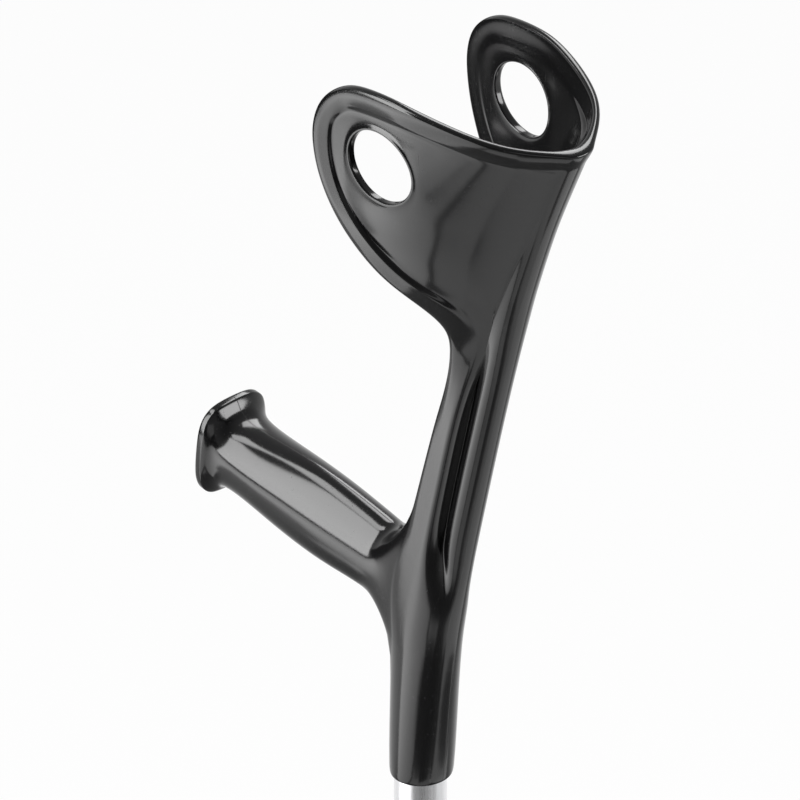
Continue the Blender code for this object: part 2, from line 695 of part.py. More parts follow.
def make_upper_tube(parts, cutters, finish, parent):
    """Tube from the socket down to the collar, with the row of height holes at its back."""
    profile = tube_profile(
        UPPER_RADIUS, UPPER_BORE, UPPER_TUBE_BOTTOM, UPPER_TUBE_TOP, TUBE_END_CHAMFER
    )
    tube = turned("upper_tube", profile, parts, finish, parent)
    for i in range(HOLE_COUNT):
        height = LOWEST_HOLE + i * HOLE_PITCH
        cut(tube, hole_cutter(f"height_hole_cutter_{i + 1}", height, UPPER_RADIUS, cutters))


def hole_cutter(name, height, radius, cutters):
    """Cutter for a button hole through the back wall of a tube, with flats at its top and bottom."""
    centre = (-radius, 0, height)
    turn = math.pi / HOLE_STEPS
    return cylinder_cutter(name, HOLE_DIAMETER / 2, radius, centre, (1, 0, 0), cutters, HOLE_STEPS, turn)


def make_collar(parts, finish, parent):
    """Sleeve over the upper tube's lower end, with an inward lip that guides the lower tube."""
    outer = UPPER_RADIUS + FIT_GAP + COLLAR_WALL
    seat = UPPER_RADIUS + FIT_GAP
    guide = LOWER_RADIUS + SLIDE_GAP
    bottom = UPPER_TUBE_BOTTOM - FIT_GAP - COLLAR_LIP
    top = bottom + COLLAR_HEIGHT
    step = bottom + COLLAR_LIP
    rounding = COLLAR_ROUNDING
    profile = [(seat, top)]
    profile += arc((outer - rounding, top - rounding), rounding, 90, 0, 2)
    profile += arc((outer - rounding, bottom + rounding), rounding, 0, -90, 2)
    profile += [(guide, bottom), (guide, step), (seat, step)]
    turned("anti_rattle_collar", profile, parts, finish, parent)


def make_lower_tube(parts, cutters, finish, parent):
    """Sliding tube with one hole for the snap button."""
    profile = tube_profile(
        LOWER_RADIUS, LOWER_BORE, LOWER_TUBE_BOTTOM, LOWER_TUBE_TOP, TUBE_END_CHAMFER
    )
    tube = turned("lower_tube", profile, parts, finish, parent)
    cut(tube, hole_cutter("button_hole_cutter", BUTTON_HEIGHT, LOWER_RADIUS, cutters))


def make_guide_bush(parts, finish, parent):
    """Flanged plug in the top end of the lower tube."""
    plug = LOWER_BORE - FIT_GAP
    bore = plug - BUSH_WALL
    seat = LOWER_TUBE_TOP + FIT_GAP
    top = seat + BUSH_FLANGE
    bottom = LOWER_TUBE_TOP - BUSH_PLUG_LENGTH
    profile = [
        (bore, top), (LOWER_RADIUS - BUSH_CHAMFER, top), (LOWER_RADIUS, top - BUSH_CHAMFER),
        (LOWER_RADIUS, seat), (plug, seat), (plug, bottom + BUSH_CHAMFER), (plug - BUSH_CHAMFER, bottom),
        (bore, bottom),
    ]
    turned("guide_bush", profile, parts, finish, parent)


def make_snap_button(parts, finish, parent):
    """Domed pin with a base disc inside the lower tube, turned on the X axis."""
    radius = BUTTON_DIAMETER / 2
    shoulder = BUTTON_TIP - BUTTON_DOME
    crown = (radius ** 2 + BUTTON_DOME ** 2) / (2 * BUTTON_DOME)
    spread = math.degrees(math.asin(radius / crown))
    profile = arc((0, BUTTON_TIP - crown), crown, 90, 90 - spread, 4)
    profile[0] = (0, BUTTON_TIP)
    profile[-1] = (radius, shoulder)
    profile += [
        (radius, BUTTON_BASE_TOP), (BUTTON_BASE_DIAMETER / 2, BUTTON_BASE_TOP),
        (BUTTON_BASE_DIAMETER / 2, BUTTON_BASE_TOP - BUTTON_BASE_THICKNESS),
        (0, BUTTON_BASE_TOP - BUTTON_BASE_THICKNESS),
    ]
    button = turned("snap_button", profile, parts, finish, parent, (0, 0, BUTTON_HEIGHT), BUTTON_STEPS)
    button.rotation_euler = (0, math.radians(-90), 0)


def make_leaf_spring(parts, finish, parent):
    """Bent strip: one leg behind the button's base, the bend below it, the other leg on the far wall."""
    half = SPRING_WIDTH / 2
    wall_x = math.sqrt(LOWER_BORE ** 2 - half ** 2) - FIT_GAP
    bend = SPRING_BEND_RADIUS - SPRING_THICKNESS / 2
    centre_x = wall_x - SPRING_BEND_RADIUS
    pad_x = -(BUTTON_BASE_TOP - BUTTON_BASE_THICKNESS - FIT_GAP - SPRING_THICKNESS / 2)
    pad = BUTTON_BASE_DIAMETER / 2
    knee = -pad - 2 * SPRING_THICKNESS
    lean = math.degrees(math.atan2(centre_x - bend - pad_x, SPRING_LEG + knee))
    points = [(centre_x + bend, -SPRING_LEG + SPRING_TAIL)]
    points += arc((centre_x, -SPRING_LEG), bend, 0, -180 - lean, SPRING_BEND_STEPS)
    points += [(pad_x, knee), (pad_x, pad)]
    mesh = bpy.data.meshes.new("leaf_spring")
    strip = bmesh.new()
    line = [strip.verts.new((x, -half, z)) for x, z in points]
    edges = [strip.edges.new(pair) for pair in zip(line, line[1:])]
    swept = bmesh.ops.extrude_edge_only(strip, edges=edges)["geom"]
    far_side = [item for item in swept if isinstance(item, bmesh.types.BMVert)]
    bmesh.ops.translate(strip, vec=(0, SPRING_WIDTH, 0), verts=far_side)
    strip.to_mesh(mesh)
    strip.free()
    spring = add_object("leaf_spring", mesh, parts, finish, (0, 0, BUTTON_HEIGHT), parent)
    gauge = spring.modifiers.new("gauge", "SOLIDIFY")
    gauge.thickness = SPRING_THICKNESS
    gauge.offset = 0
    gauge.use_even_offset = True


def make_ferrule(parts, finish, parent):
    """Rubber foot: bead at its mouth, waist, flare, and a sole with ring grooves round a flat disc."""
    bore = LOWER_RADIUS + FIT_GAP
    waist = bore + FERRULE_WALL
    bead = waist + FERRULE_BEAD
    sole = FERRULE_SOLE_DIAMETER / 2
    edge = FERRULE_SOLE_EDGE
    rounding = FERRULE_ROUNDING
    flare_radius = FERRULE_FLARE_HEIGHT - edge
    lead_in = FERRULE_WALL / 3
    profile = [(0, FERRULE_FLOOR), (bore, FERRULE_FLOOR), (bore, FERRULE_HEIGHT - lead_in)]
    profile += [(bore + lead_in, FERRULE_HEIGHT)]
    profile += arc((bead - rounding, FERRULE_HEIGHT - rounding), rounding, 90, 0, 2)
    profile += [(bead, FERRULE_HEIGHT - FERRULE_BEAD_HEIGHT)]
    profile += [(waist, FERRULE_HEIGHT - FERRULE_BEAD_HEIGHT - FERRULE_BEAD)]
    steps = 4
    for i in range(steps + 1):
        turn = math.pi / 2 * i / steps
        radius = mix(waist, sole, 1 - math.cos(turn))
        profile.append((radius, FERRULE_FLARE_HEIGHT - flare_radius * math.sin(turn)))
    profile += arc((sole - rounding, rounding), rounding, 0, -90, 2)
    for i in range(SOLE_GROOVE_COUNT):
        groove = sole - (i + 1) * SOLE_GROOVE_PITCH
        for side in (1, -1):
            rim = groove + side * SOLE_GROOVE_WIDTH / 2
            levels = (0, SOLE_GROOVE_DEPTH) if side > 0 else (SOLE_GROOVE_DEPTH, 0)
            profile += [(rim, level) for level in levels]
    profile.append((0, 0))
    turned("ferrule", profile, parts, finish, parent)


def make_washer(parts, finish, parent):
    """Steel disc between the tube's end and the floor of the rubber foot."""
    bottom = FERRULE_FLOOR + FIT_GAP
    top = bottom + WASHER_THICKNESS
    profile = [(0, top), (LOWER_RADIUS, top), (LOWER_RADIUS, bottom), (0, bottom)]
    turned("ferrule_washer", profile, parts, finish, parent)


def build():
    clear_scene()
    parts = new_collection("forearm_crutch")
    cutters = new_collection("cutters")
    handle = add_object("handle_frame", None, parts)
    leg = add_object("leg_frame", None, parts, parent=handle)
    black = material("black_polypropylene", (0.012, 0.012, 0.013), 0.16)
    aluminium = material("anodised_aluminium", (0.76, 0.77, 0.79), 0.24, 1.0)
    leg_aluminium = material("leg_aluminium", (0.74, 0.75, 0.77), 0.26, 1.0)
    collar_plastic = material("collar_plastic", (0.02, 0.02, 0.021), 0.4)
    bush_plastic = material("bush_acetal", (0.75, 0.75, 0.72), 0.45)
    plated_steel = material("plated_steel", (0.62, 0.63, 0.65), 0.3, 1.0)
    spring_steel = material("spring_steel", (0.32, 0.33, 0.36), 0.35, 1.0)
    rubber = material("foot_rubber", (0.035, 0.036, 0.038), 0.7)
    washer_steel = material("washer_steel", (0.55, 0.56, 0.58), 0.4, 1.0)
    make_moulding(parts, cutters, black, handle)
    make_upper_tube(parts, cutters, aluminium, handle)
    make_collar(parts, collar_plastic, handle)
    make_lower_tube(parts, cutters, leg_aluminium, leg)
    make_guide_bush(parts, bush_plastic, leg)
    make_snap_button(parts, plated_steel, leg)
    make_leaf_spring(parts, spring_steel, leg)
    make_ferrule(parts, rubber, leg)
    make_washer(parts, washer_steel, leg)


build()
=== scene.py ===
"""Dressed model of the forearm crutch: one glossy black moulding on a telescoping aluminium leg."""
import math

import bmesh
import bpy
from mathutils import Matrix, Vector


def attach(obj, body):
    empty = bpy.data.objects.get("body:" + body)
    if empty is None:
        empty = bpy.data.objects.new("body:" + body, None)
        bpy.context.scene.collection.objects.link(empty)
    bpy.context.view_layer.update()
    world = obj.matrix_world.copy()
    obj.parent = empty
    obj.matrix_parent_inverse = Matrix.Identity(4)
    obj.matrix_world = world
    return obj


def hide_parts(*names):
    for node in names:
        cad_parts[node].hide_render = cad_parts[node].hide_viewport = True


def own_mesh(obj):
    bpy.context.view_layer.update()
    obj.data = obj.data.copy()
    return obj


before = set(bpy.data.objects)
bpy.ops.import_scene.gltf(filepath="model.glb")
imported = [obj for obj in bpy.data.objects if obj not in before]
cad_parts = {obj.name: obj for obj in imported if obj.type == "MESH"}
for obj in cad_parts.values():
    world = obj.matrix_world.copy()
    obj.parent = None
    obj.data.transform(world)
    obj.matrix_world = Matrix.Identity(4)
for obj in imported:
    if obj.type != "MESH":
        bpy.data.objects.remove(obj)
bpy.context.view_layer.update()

MM = 0.001

# Main sizes of the crutch, as the CAD model has them, in metres
SOCKET_MOUTH = 676.0 * MM
HOLE_COUNT = 13
HOLE_PITCH = 20.0 * MM
HOLE_RADIUS = 3.9 * MM
LOWEST_HOLE = 125.0 * MM
BUTTON_HEIGHT = LOWEST_HOLE + (HOLE_COUNT - 1) * HOLE_PITCH

# In millimetres: the socket, and each tube's outer radius, bore radius, bottom and top
SOCKET_BORE = 11.3
SOCKET_DEPTH = 66.0
UPPER_TUBE = (11.0, 9.8, 90.0, 676.0 + SOCKET_DEPTH - 0.3)
LOWER_TUBE = (9.5, 8.3, 10.1, BUTTON_HEIGHT / MM + 56.0)

# The photograph's camera: how far round to the left of straight behind, how far down, its scale, and
# the level directions away from it and to its right
CAMERA_TURN = math.radians(43.0)
CAMERA_FALL = math.radians(31.0)
PIXELS_PER_MM = 2.41
CAMERA_DISTANCE = 9.0
PICTURE_SIZE = 800
MOUTH_IN_PICTURE = (420.5, 770)
SENSOR_WIDTH = 36
AWAY = Vector((math.cos(CAMERA_TURN), -math.sin(CAMERA_TURN), 0))
RIGHT = Vector((-math.sin(CAMERA_TURN), -math.cos(CAMERA_TURN), 0))

# Studio: rounded directions away from the camera and to its left, softboxes and cards on the floor.
# A softbox: degrees to the right of the view and up, distance, width and height in degrees, brightness.
# A card: degrees to the right, how far out it starts and ends, the same across to the left, brightness
# of its near and of its far edge.
WHITE = (1.0, 1.0, 1.0)
VIEW_AWAY = (0.731, -0.682, 0.0)
VIEW_LEFT = (0.682, 0.731, 0.0)
FLOOR_REACH = 20
LIGHTS_AIM = 0.87
SOFTBOXES = (
    ("side_light", -103, 14, 1.6, 23, 68, 8.2),
    ("top_light", -82, 57, 1.5, 30, 14, 7.5),
    ("back_light", 13, 46, 1.6, 14, 34, 7.0),
    ("right_light", 108, 16, 1.7, 30, 26, 9.0),
)
CARD_HEIGHT = 0.02
LOW_CARDS = (
    ("low_card", -85, (0.50, 0.72), (-0.09, 0.86), 1.3, 1.55),
    ("low_card_wide", -85, (0.72, 0.95), (-0.09, 1.10), 1.55, 1.9),
    ("low_card_far", -85, (0.95, 1.9), (0.0, 1.35), 1.9, 3.8),
    ("low_card_middle", -85, (0.05, 0.435), (0.40, 0.78), 0.9, 0.9),
    ("low_card_near", -85, (-0.45, 0.05), (0.30, 0.62), 0.8, 0.8),
    ("low_card_right", 105, (0.48, 0.76), (-0.42, 0.42), 1.1, 1.1),
)

# The moulding's outlines, in millimetres from the centre of its socket mouth, as (height, x) pairs
BACK_OUTLINE = (
    (0, -14.1), (12, -15.3), (33, -17.1), (62, -19.8), (92, -24.6), (113, -29.4), (146, -37.2),
    (177, -44.6), (203, -51.2), (219, -55.4), (236, -60.2), (253, -65.2), (269, -70.6), (287, -76.8),
    (304, -83.4), (322, -90.8), (338, -97.5),
)
FRONT_OUTLINE = (
    (0, 12.9), (60, 12.9), (82, 11.8), (100, 7.6), (127, -3.4), (154, -12.4), (174, -18.0),
    (191, -23.0), (207, -28.0), (222, -36.0), (237, -47.0), (249, -54.0), (263, -60.5), (279, -67.0),
    (300, -76.0), (318, -83.4), (338, -91.8),
)
RIDGE_STAND_OUT = ((196, 6.5), (222, 5.6), (242, 5.0), (276, 4.4), (300, 3.8), (318, 3.0), (338, 2.2))
WING_FRONT = (
    (191, -24.5), (207, -28.5), (218, -30.4), (229, -34.4), (238, -35.0), (248, -28.4), (261, -11.2),
    (277, 4.4), (293, 13.4), (307, 17.5), (320, 18.4), (332, 15.8), (339, 11.3), (344, 4.8),
)
CUFF_HALF_WIDTH = (
    (196, 13.5), (222, 17.5), (236, 23.5), (248, 31.0), (261, 37.4), (277, 41.2), (300, 43.2),
    (318, 43.6), (337, 43.2), (352, 42.4),
)
CUFF_POINT = ((242, 1.34), (276, 1.28), (300, 1.18), (338, 1.02))
CUFF_FULLNESS = ((276, 1.3), (318, 1.38), (338, 1.6))
WING_CREST_X = -31.0
WING_CREST = 350.8
WING_TOP = (
    (-100.0, 338.4), (-98, 339.0), (-86.5, 341.0), (-71.4, 344.8), (-52.6, 349.0),
    (WING_CREST_X, WING_CREST), (WING_CREST_X + 8, WING_CREST), (-7, 349.0), (1, 346.8), (6.5, 343.6),
)
SOCKET_HALF_WIDTH = ((0, 13.7), (33, 13.5), (62, 12.7))
NECK_HALF_WIDTH = ((92, 12.8), (113, 12.8), (154, 12.6), (207, 13.2), (222, 14.4))
NECK_FRONT_ROUNDING = 1.5
# How much of the socket's section its rounded mouth keeps
MOUTH_SHARE = 0.94
CUFF_WALL = 3.0
RIDGE_RADIUS = 7.5
WING_CENTRE_X = -7.0
WING_FLARE = 0.0012
WING_HOLE_X = -19.8
WING_HOLE_Z = 314.9
WING_HOLE_REACH = (18.1, 16.7)
HOLE_WINDOW_HALF = 22.0
GRIP_ROOT = (12.8, 93.6)
GRIP_RISE = math.radians(7.9)
# Grip sections: distance from the root, half-height up and down, half-width, squareness of the upper
# and of the lower half, top taper, and how far the top leans back and the bottom forward
GRIP_SECTIONS = (
    (5.3, 17.9, 18.5, 12.0, 1.95, 2.3, 0.04, 2.1), (12.5, 18.5, 18.5, 12.5, 1.95, 2.3, 0.04, 3.5),
    (22.5, 19.3, 19.1, 13.0, 1.9, 2.3, 0.05, 2.5),
    (40.0, 20.2, 20.3, 13.9, 1.9, 2.4, 0.05), (62.0, 19.3, 19.5, 14.3, 1.95, 2.4, 0.05),
    (82.0, 16.6, 17.1, 14.8, 2.1, 2.2, 0.05), (95.0, 16.0, 16.8, 14.8, 2.3, 2.3, 0.07),
    (99.8, 18.2, 18.4, 15.6, 2.6, 2.6, 0.09), (102.0, 21.6, 22.0, 17.0, 3.0, 3.0, 0.10),
    (103.4, 22.9, 23.4, 17.6, 3.2, 3.2, 0.10), (106.4, 22.9, 23.4, 17.6, 3.2, 3.2, 0.10),
    (107.8, 20.2, 20.4, 15.2, 3.0, 3.0, 0.10),
)

# Rim round the cuff's free edge: how far in from the edge each line lies at the front and along the
# top, how far it stands off the outer wall, and how sharp it is. The panel inside is sunk.
RIM_LINES = (
    (1.5, 1.5, 0.95, 0.3), (4.6, 5.2, 0.95, 0.55), (9.2, 10.6, -0.15, 0.5), (10.5, 12.2, -1.3, 0.4),
)
RIM_REACH = RIM_LINES[-1][0]
RIM_REACH_TOP = RIM_LINES[-1][1]
# How much of the rim also stands off the inner wall, and how much of its sharpness the top edge keeps
RIM_INSIDE_SHARE = 0.15
TOP_SHARPNESS = 0.35
# How much of the panel's sink the inner wall follows
SINK_INSIDE_SHARE = 0.7
# Where the panel ends at the back, as a share of the wall's length from the front edge
PANEL_REAR = 0.74
PANEL_SINK = ((236, 0.0), (248, 0.6), (258, 1.2), (279, 1.3))
# The groove between the cuff's wall and the ridge: how far ahead of the ridge's back, and its half-width
GROOVE_AHEAD = (
    (200, 12.8), (217, 11.9), (229, 11.3), (243, 9.9), (255, 8.8), (277, 7.4), (292, 5.7), (313, 4.8),
    (338, 4.2),
)
GROOVE_HALF = (
    (200, 5.8), (217, 7.4), (229, 8.2), (243, 9.0), (255, 8.9), (277, 8.5), (292, 7.8), (313, 7.8),
    (338, 8.0),
)
# How far the front end of each row is led down round the wing's corner
FRONT_DROP = ((279, 0.0), (294, 2.0), (307, 4.6), (321, 7.6), (334, 11.6), (340.2, 14.0))
# How far the front column round the wing's hole is drawn in
WINDOW_FRONT_IN = ((294, 1.0), (307, 0.4), (321, 1.2), (334, 4.0))
# Where the step between the rim and the panel runs on towards the neck, as (height, x), how wide its
# face is there, and how far its upper edge stands off the wall
STEP_RUN = ((236, -51.0), (248, -50.0), (256, -42.4), (265, -27.4), (279, -8.6), (294, 2.6))
STEP_WIDTH = ((248, 4.0), (256, 3.4), (265, 2.4), (279, 1.3), (294, 1.3))
STEP_RISE = ((246, 0.0), (256, 0.9), (265, 0.9), (279, 0.45), (292, 0.15))
CORNER_ROW = WING_CREST - RIM_REACH_TOP
# The wing's front corner as (x, height), and where its diagonal meets the panel
WING_CORNER = (14.4, 335.0)
WING_CORNER_INSIDE = (3.2, 329.8)

# Heights between which one form passes smoothly into the next
TO_GRIP, FROM_GRIP = (38.0, 62.0), (124.0, 146.0)
TO_NECK, TO_RIDGE, TO_CUFF = (50.0, 116.0), (88.0, 126.0), (192.0, 238.0)
TO_RIM, TO_HOLE_WINDOW = (236.0, 260.0), (262.0, 292.0)

# Sharpness of the groove in the neck and in the cuff, of the flange's rings, of the mouth, and how much
# of the first rim line's sharpness its inner side keeps
NECK_GROOVE_SHARPNESS, CUFF_GROOVE_SHARPNESS = 0.5, 0.65
FLANGE_RINGS, FLANGE_SHARPNESS = (9, 10), 0.42
MOUTH_SHARPNESS = 0.6
INNER_SHARPNESS = 0.7
# Rings of the grip's even stretch, where fewer fine rows are enough
STRAIGHT_RINGS = range(2, 6)

# Rows of the cage by height, and its columns from the front centre round to the back
SOCKET_ROWS = (0.8, 24.0, 46.0)
GRIP_WINDOW_ROWS = (66.0, 79.0, 92.0, 107.0, 121.0)
NECK_ROWS = (140.0, 163.0, 187.0, 207.0)
CUFF_ROWS = (222.0, 236.0, 248.0, 256.0, 265.0, 279.0)
WING_WINDOW_ROWS = (294.0, 307.0, 321.0, 334.0)
GRIP_COLUMN = 5
PANEL_COLUMNS = 5
RIM = len(RIM_LINES)
TIP = 1 + PANEL_COLUMNS + RIM
GROOVE_COLUMN = TIP + 1 + RIM + PANEL_COLUMNS
COLUMNS = GROOVE_COLUMN + 4
# The cage's smoothing steps, the fine rows that they make of each row, and the socket's last row
SMOOTHING = 3
FINE_ROWS = 2 ** SMOOTHING
SOCKET_ROW_LAST = 4


def track(stations, at):
    """Value at a position on a smooth curve through (position, value) stations."""
    if at <= stations[0][0]:
        return stations[0][1]
    if at >= stations[-1][0]:
        return stations[-1][1]
    index = max(i for i, station in enumerate(stations[:-1]) if station[0] <= at)

    def slope(i):
        low, high = max(i - 1, 0), min(i + 1, len(stations) - 1)
        return (stations[high][1] - stations[low][1]) / (stations[high][0] - stations[low][0])

    (x0, y0), (x1, y1) = stations[index], stations[index + 1]
    step = x1 - x0
    t = (at - x0) / step
    return (
        (2 * t ** 3 - 3 * t ** 2 + 1) * y0 + (t ** 3 - 2 * t ** 2 + t) * step * slope(index)
        + (3 * t ** 2 - 2 * t ** 3) * y1 + (t ** 3 - t ** 2) * step * slope(index + 1)
    )


def ease(value):
    """Smooth step from 0 to 1."""
    value = min(max(value, 0.0), 1.0)
    return value * value * (3 - 2 * value)


def between(value, span):
    """Smooth step from 0 at the start of a span to 1 at its end."""
    return ease((value - span[0]) / (span[1] - span[0]))


def mix(a, b, weight):
    return a + (b - a) * weight


def droop(height, x):
    """Rows of the cuff come down towards the back, as its top edge does."""
    share = max(height - CUFF_ROWS[0], 0.0) / (WING_CREST - CUFF_ROWS[0])
    return height - share * (WING_CREST - track(WING_TOP, min(x, WING_CREST_X)))


def back_height(height):
    return droop(height, WING_TOP[0][0])


def nose_x(height):
    """The x where the cuff's outer wall would meet the other side's, inside the ridge."""
    rear = back_height(height)
    return track(BACK_OUTLINE, rear) + track(RIDGE_STAND_OUT, rear)


def wall_y(height, x):
    """Half-width of the cuff's outer wall at one x of a row."""
    half = track(CUFF_HALF_WIDTH, height)
    if x >= WING_CENTRE_X:
        return half + WING_FLARE * (x - WING_CENTRE_X) ** 2
    rear = back_height(height)
    along = min((WING_CENTRE_X - x) / (WING_CENTRE_X - nose_x(height)), 1.0)
    turn = math.acos(along ** track(CUFF_FULLNESS, rear))
    return half * math.sin(turn) ** track(CUFF_POINT, rear)


def on_row(height, x, y):
    """Point of a row that comes down towards the back."""
    return Vector((x, y, droop(height, x)))


def under_wall(height, x, depth):
    """The x and y at a depth under the cuff's outer wall, square to it at one x of a row."""
    step = 0.05
    slope = (wall_y(height, x + step) - wall_y(height, x - step)) / (2 * step)
    length = math.hypot(slope, 1)
    return x + slope / length * depth, wall_y(height, x) - 1 / length * depth


def wall_pair(height, x, bulge):
    """Points of the outer and the inner wall at one x of a row, both thickened by a bulge."""
    deep = CUFF_WALL + (bulge * RIM_INSIDE_SHARE if bulge > 0 else -SINK_INSIDE_SHARE * bulge)
    return [on_row(height, *under_wall(height, x, depth)) for depth in (-bulge, deep)]


def wall_middle(height, x):
    """Point halfway through the cuff's wall."""
    return on_row(height, *under_wall(height, x, CUFF_WALL / 2))


def trough_point(height):
    """Point of the inner wall's back centre line."""
    return on_row(height, track(FRONT_OUTLINE, back_height(height)), 0.0)


def wall_path(height):
    """Distances along the outer wall, from the front edge back to the nose, with their x."""
    nose = nose_x(height)
    tip = track(WING_FRONT, height)
    path = [(0.0, tip)]
    last = (tip, wall_y(height, tip))
    steps = 120
    for i in range(1, steps + 1):
        x = nose + (tip - nose) * math.cos(math.pi / 2 * i / steps) ** 1.5
        here = (x, wall_y(height, x))
        path.append((path[-1][0] + math.dist(last, here), x))
        last = here
    return path


def x_along(path, distance):
    """The x where the wall path reaches a distance from the front edge."""
    for (d0, x0), (d1, x1) in zip(path, path[1:]):
        if distance <= d1:
            return x0 + (x1 - x0) * (distance - d0) / max(d1 - d0, 1e-9)
    return path[-1][1]


def panel_rear(height):
    """The x where the panel ends at the back."""
    path = wall_path(height)
    return x_along(path, path[-1][0] * PANEL_REAR)


def grip_width(height):
    """1 where the grip leaves the front of the neck, 0 away from it."""
    return between(height, TO_GRIP) * (1 - between(height, FROM_GRIP))


def socket_section(height):
    """Half-section of the round socket, from the front centre round to the back centre."""
    front = track(FRONT_OUTLINE, height)
    back = track(BACK_OUTLINE, height)
    half = track(SOCKET_HALF_WIDTH, height)
    middle, depth = (front + back) / 2, (front - back) / 2
    rear = (117, 124, 131, 142, 158, 180)
    plain = (0, 9, 18, 26, 34, 42, 47, 52, 57, 62, 67, 72, 78, 84, 90, 96, 103, 110) + rear
    wide = (0, 12, 24, 36, 48, 59, 63, 67, 71, 75, 79, 83, 87, 91, 95, 100, 105, 111) + rear
    share = grip_width(height)
    turns = [math.radians(mix(a, b, share)) for a, b in zip(plain, wide)]
    return [(middle + depth * math.cos(turn), half * math.sin(turn)) for turn in turns]


def neck_section(height):
    """Half-section of the neck: flat front, corner, side face, step down to the groove, round ridge."""
    back = track(BACK_OUTLINE, height)
    front = track(FRONT_OUTLINE, height)
    if height > NECK_ROWS[-2]:
        front = track(WING_FRONT, height) + NECK_FRONT_ROUNDING
    half = track(NECK_HALF_WIDTH, height)
    depth = front - back
    ridge = RIDGE_RADIUS
    share = grip_width(height)
    corner = [
        (depth - mix(a, b, share), half * mix(c, d, share)) for a, b, c, d in (
            (0.0, 0.0, 0.0, 0.0), (0.0, 0.0, 0.20, 0.24), (0.0, 0.0, 0.38, 0.46), (0.0, 0.1, 0.55, 0.68),
            (0.0, 0.5, 0.69, 0.86), (0.1, 2.2, 0.80, 0.965), (0.25, 3.4, 0.88, 0.99), (0.6, 4.4, 0.94, 1.0),
            (1.1, 5.4, 0.98, 1.0), (1.8, 6.4, 1.0, 1.0), (2.8, 7.6, 1.0, 1.0),
        )
    ]
    step = 1.74 * ridge + 3.1
    start = corner[-1][0]
    side = [(mix(start, step, part), half) for part in (0.34, 0.64, 0.86, 1.0)]
    wall = [(step - 1.3, 0.97 * half), (step - 2.3, 0.87 * half), (step - 2.8, 0.74 * half),
            (step - 3.0, 0.61 * half), (step - 3.1, 0.49 * half), (1.72 * ridge, 0.66 * ridge)]
    radius = ridge * 1.07
    rounds = [(ridge + radius * math.cos(turn), radius * math.sin(turn)) for turn in (1.55, 2.35)]
    shaped = corner + side + wall + rounds + [(-1.0, 0.0)]
    ridge_share = between(height, TO_RIDGE)
    before = len(corner) + len(side) - 2
    points = []
    for index, (x, y) in enumerate(shaped):
        if index > before:
            turn = math.pi / 2 * (index - before) / (len(shaped) - 1 - before)
            plain = (step - (step + 1.0) * math.sin(turn), half * math.cos(turn) ** 0.9)
            x, y = mix(plain[0], x, ridge_share), mix(plain[1], y, ridge_share)
        points.append((back + x, y))
    return points


def rim_level(height, share):
    """Height of a rim line's point on a row whose front end is led down."""
    return height - track(FRONT_DROP, height) * (1.0 - 0.32 * share)


def rim_x(height, inset):
    """The x at an inset from the front edge, which keeps its width where the edge slants."""
    slope = (track(WING_FRONT, height + 2) - track(WING_FRONT, height - 2)) / 4
    return track(WING_FRONT, height) - inset * min(math.hypot(1, slope), 1.5)


def cuff_section(height):
    """Half-section of the cuff: trough, inner wall, rim, edge, rim, outer wall, groove and ridge."""
    rear = panel_rear(height)
    square = between(height, TO_HOLE_WINDOW)
    sink = -track(PANEL_SINK, height)
    pairs = []
    for line, (inset, _, bulge, _) in enumerate(RIM_LINES):
        level = rim_level(height, inset / RIM_REACH)
        x = rim_x(level, inset)
        if line >= 2 and height < 290:
            bead = rim_x(level, RIM_LINES[1][0])
            run = min(track(STEP_RUN, height), rim_x(level, RIM_REACH))
            run = max(run, mix(rear, track(WING_FRONT, height), 0.3))
            upper = max(run + track(STEP_WIDTH, height), mix(run, bead, 0.12))
            x = (min(upper, mix(run, bead, 0.5)), run)[line - 2]
            bulge = (track(STEP_RISE, height), sink)[line - 2]
        if line < 2:
            bulge *= between(height, TO_RIM)
        pairs.append(wall_pair(level, x, bulge))
    first = x
    for i in range(PANEL_COLUMNS - 1):
        plain = mix(first, rear, ease(0.12 + 0.76 * (i + 1) / PANEL_COLUMNS))
        window = WING_HOLE_X + HOLE_WINDOW_HALF * (1 - 2 * i / 3)
        level = height
        if i == 0:
            window -= track(WINDOW_FRONT_IN, height)
            level -= 0.25 * track(FRONT_DROP, height)
        pairs.append(wall_pair(level, mix(plain, window, square), sink))
    pairs.append(wall_pair(height, rear, sink * 0.5))
    outer, inner = zip(*pairs)
    level = rim_level(height, 0.0)
    tip = wall_middle(level, track(WING_FRONT, level))
    return [trough_point(height), *inner[::-1], tip, *outer, *ridge_points(height, 0.0)]


def ridge_points(height, bulge):
    """Groove, two points of the round flank, and crest of the ridge behind the cuff's wall."""
    level = back_height(height)
    for _ in range(3):
        groove_x = track(BACK_OUTLINE, level) + track(GROOVE_AHEAD, level)
        level = droop(height, groove_x)
    back = track(BACK_OUTLINE, back_height(height))
    middle = back + RIDGE_RADIUS
    groove_y = track(GROOVE_HALF, level)
    start = math.atan2(groove_y, groove_x - middle)
    reach = math.hypot(groove_y, groove_x - middle)
    flat = [(groove_x + bulge * math.cos(start), groove_y + bulge * math.sin(start))]
    for share in (0.36, 0.7):
        turn = mix(start, math.pi, share)
        radius = mix(reach, RIDGE_RADIUS, min(share * 1.5, 1.0)) * 1.045 + bulge * mix(1.0, 0.4, share)
        flat.append((middle + radius * math.cos(turn), radius * math.sin(turn)))
    flat.append((back - 0.4 - bulge * 0.25, 0.0))
    return [on_row(height, x, y) for x, y in flat]


